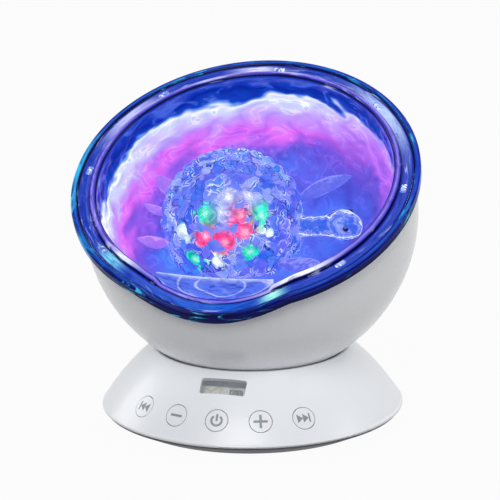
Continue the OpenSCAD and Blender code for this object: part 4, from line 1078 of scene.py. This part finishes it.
        # Thickness, the share of it that the tip loses, and the sideways bow as a share of the width
        blade, taper, bow_share = 1.25, 0.55, 0.18
        points, faces = [], []
        steps, sides = 18, 20
        for root, z, turn, long, wide, rise in leaves:
            base = len(points)
            x, y = SHELL[:2] + SHELL_R * np.array(root)
            t, r = math.radians(turn), math.radians(rise)
            ahead = np.array([math.cos(t) * math.cos(r), math.sin(t) * math.cos(r), math.sin(r)])
            side = np.array([-math.sin(t), math.cos(t), 0])
            up = np.cross(ahead, side)
            for k in range(steps):
                s = k / (steps - 1)
                outline = math.sin(math.pi * min(0.999, 0.06 + 0.93 * s)) ** 0.75
                half = wide / 2 * max(0.02, outline)
                swell = math.sin(math.pi * min(0.97, 0.1 + 0.88 * s)) ** 0.5
                thick = blade * (1 - taper * s) * max(0.06, swell)
                bow = bow_share * wide * math.sin(2.6 * s)
                middle = np.array([x, y, z]) + ahead * long * s + side * bow
                for q in range(sides):
                    a = 2 * math.pi * q / sides
                    points.append(middle + half * math.cos(a) * side + thick * math.sin(a) * up)
            faces += closed_faces(base, steps, sides)
        return add_head_piece("turtle_flippers", points, faces, finish)


class WAVEPROJECTOR_OT_harness(bpy.types.Operator):
    """Puts a smooth-shaded copy of the leads to the lamp head in place of the solid harness"""
    bl_idname = "wave_projector.harness"
    bl_label = "Harness"
    # Heights at which the bend starts, over the stem, and ends, under the plate
    bend_from, bend_to = 0.033, 0.0465

    def execute(self, context):
        solid = frame["nodes"]["head_harness"]
        lead = bpy.data.objects.new("harness_lead", solid.data.copy())
        context.scene.collection.objects.link(lead)
        lead.matrix_world = solid.matrix_world.copy()
        lead.data.polygons.foreach_set("use_smooth", [True] * len(lead.data.polygons))
        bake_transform(lead)
        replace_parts(lead, "head_harness")
        return {"FINISHED"}


class WAVEPROJECTOR_OT_symbols(bpy.types.Operator):
    """Inlays the grey symbols in the five buttons"""
    bl_idname = "wave_projector.symbols"
    bl_label = "Button symbols"

    # Half width of a bar, half lengths of minus and plus, radii of the power ring and depth of the inlay
    bar_half, minus_half, plus_half = 0.5, 2.6, 2.9
    ring_in, ring_out = 1.75, 2.6
    inlay_depth = 0.12

    def execute(self, context):
        look = context.scene.wave_projector_base
        f = Finish("symbol_print").set(Roughness=0.5)
        f.colour(f.tones(f.noise(1500, 2), tuple(look.symbol_grey), 0.9, 1.08))
        middle = len(BUTTON_NAMES) // 2
        for k, name in enumerate(BUTTON_NAMES):
            azimuth = (k - middle) * BUTTON_PITCH
            points, faces = self.inlay(self.outlines(name), azimuth, look.symbol_rise / MM)
            add_piece("symbol_" + name, points, faces, f, name + "_key", flat=True)
        return {"FINISHED"}

    def box(self, x0, y0, x1, y1):
        return [(x0, y0), (x1, y0), (x1, y1), (x0, y1)]

    def bar(self, half):
        """A level bar, cut into short lengths so that it follows the skirt."""
        cuts = np.linspace(-half, half, 5)
        return [self.box(a, -self.bar_half, b, self.bar_half) for a, b in zip(cuts, cuts[1:])]

    def outlines(self, name):
        """Flat outlines of a symbol, in millimetres on the face of its button."""
        h, far = self.bar_half, self.plus_half
        if name == "minus":
            return self.bar(self.minus_half)
        if name == "plus":
            return self.bar(far) + [self.box(-h, h, h, far), self.box(-h, -far, h, -h)]
        if name == "power":
            turns = np.radians(np.linspace(38, 322, 33))
            ring = np.stack([np.sin(turns), np.cos(turns)], -1)
            arcs = [[self.ring_in * a, self.ring_out * a, self.ring_out * b, self.ring_in * b]
                    for a, b in zip(ring, ring[1:])]
            return arcs + [self.box(-0.42, -0.2, 0.42, 2.8)]
        way = 1 if name == "next" else -1
        shapes = [[(-2.9, -1.9), (-2.9, 1.9), (-0.4, 0)], [(-0.4, -1.9), (-0.4, 1.9), (2.1, 0)],
                  self.box(2.1, -1.9, 2.75, 1.9)]
        return [[(way * x, y) for x, y in shape] for shape in shapes]

    def on_skirt(self, azimuth, x, y, rise):
        """A place on the skirt, seen from a button's middle, pushed out along the skirt's own normal."""
        lean = math.atan2(BUTTON_Z - SKIRT_C[1], BUTTON_R - SKIRT_C[0])
        r, z = BUTTON_R - y * math.sin(lean), BUTTON_Z + y * math.cos(lean)
        a = math.radians(azimuth)
        spot = np.array([r * math.sin(a) + x * math.cos(a), -r * math.cos(a) + x * math.sin(a)])
        flat = np.linalg.norm(spot)
        reach = np.array([flat - SKIRT_C[0], z - SKIRT_C[1]])
        reach *= (SKIRT_R + rise) / np.linalg.norm(reach)
        out = reach[0] + SKIRT_C[0]
        return (spot[0] / flat * out, spot[1] / flat * out, reach[1] + SKIRT_C[1])

    def inlay(self, shapes, azimuth, rise):
        """Flat plates let into the skirt, with the outlines given."""
        points, faces = [], []
        for shape in shapes:
            base, n = len(points), len(shape)
            points += [self.on_skirt(azimuth, x, y, rise) for x, y in shape]
            points += [self.on_skirt(azimuth, x, y, -self.inlay_depth) for x, y in shape]
            faces.append(tuple(range(base, base + n)))
            faces.append(tuple(range(base + 2 * n - 1, base + n - 1, -1)))
            for k in range(n):
                low, high = base + k, base + (k + 1) % n
                faces.append((low, low + n, high + n, high))
        return points, faces


class WAVEPROJECTOR_PT_panel(bpy.types.Panel):
    """Sidebar panel with the projector's steps and settings"""
    bl_idname = "WAVEPROJECTOR_PT_panel"
    bl_label = "Wave projector"
    bl_space_type = "VIEW_3D"
    bl_region_type = "UI"
    bl_category = "Wave projector"

    def draw(self, context):
        for group in ("wave_projector_head", "wave_projector_base", "wave_projector_stage"):
            box = self.layout.box()
            settings = getattr(context.scene, group)
            for name in settings.__annotations__:
                box.prop(settings, name)
        for step in STEPS:
            self.layout.operator(step.bl_idname)


SETTINGS = {
    "wave_projector_head": WaveProjectorHead,
    "wave_projector_base": WaveProjectorBase,
    "wave_projector_stage": WaveProjectorStage,
}
STEPS = (
    WAVEPROJECTOR_OT_stage, WAVEPROJECTOR_OT_finishes, WAVEPROJECTOR_OT_wave_bowl, WAVEPROJECTOR_OT_turtle,
    WAVEPROJECTOR_OT_harness, WAVEPROJECTOR_OT_symbols)


def register():
    for name, group in SETTINGS.items():
        bpy.utils.register_class(group)
        setattr(bpy.types.Scene, name, bpy.props.PointerProperty(type=group))
    for cls in STEPS + (WAVEPROJECTOR_PT_panel,):
        bpy.utils.register_class(cls)


def unregister():
    for cls in reversed(STEPS + (WAVEPROJECTOR_PT_panel,)):
        bpy.utils.unregister_class(cls)
    for name, group in SETTINGS.items():
        delattr(bpy.types.Scene, name)
        bpy.utils.unregister_class(group)


def main():
    register()
    bpy.ops.wave_projector.stage()
    bpy.ops.wave_projector.finishes()
    bpy.ops.wave_projector.wave_bowl()
    bpy.ops.wave_projector.turtle()
    bpy.ops.wave_projector.harness()
    bpy.ops.wave_projector.symbols()


if __name__ == "__main__":
    main()
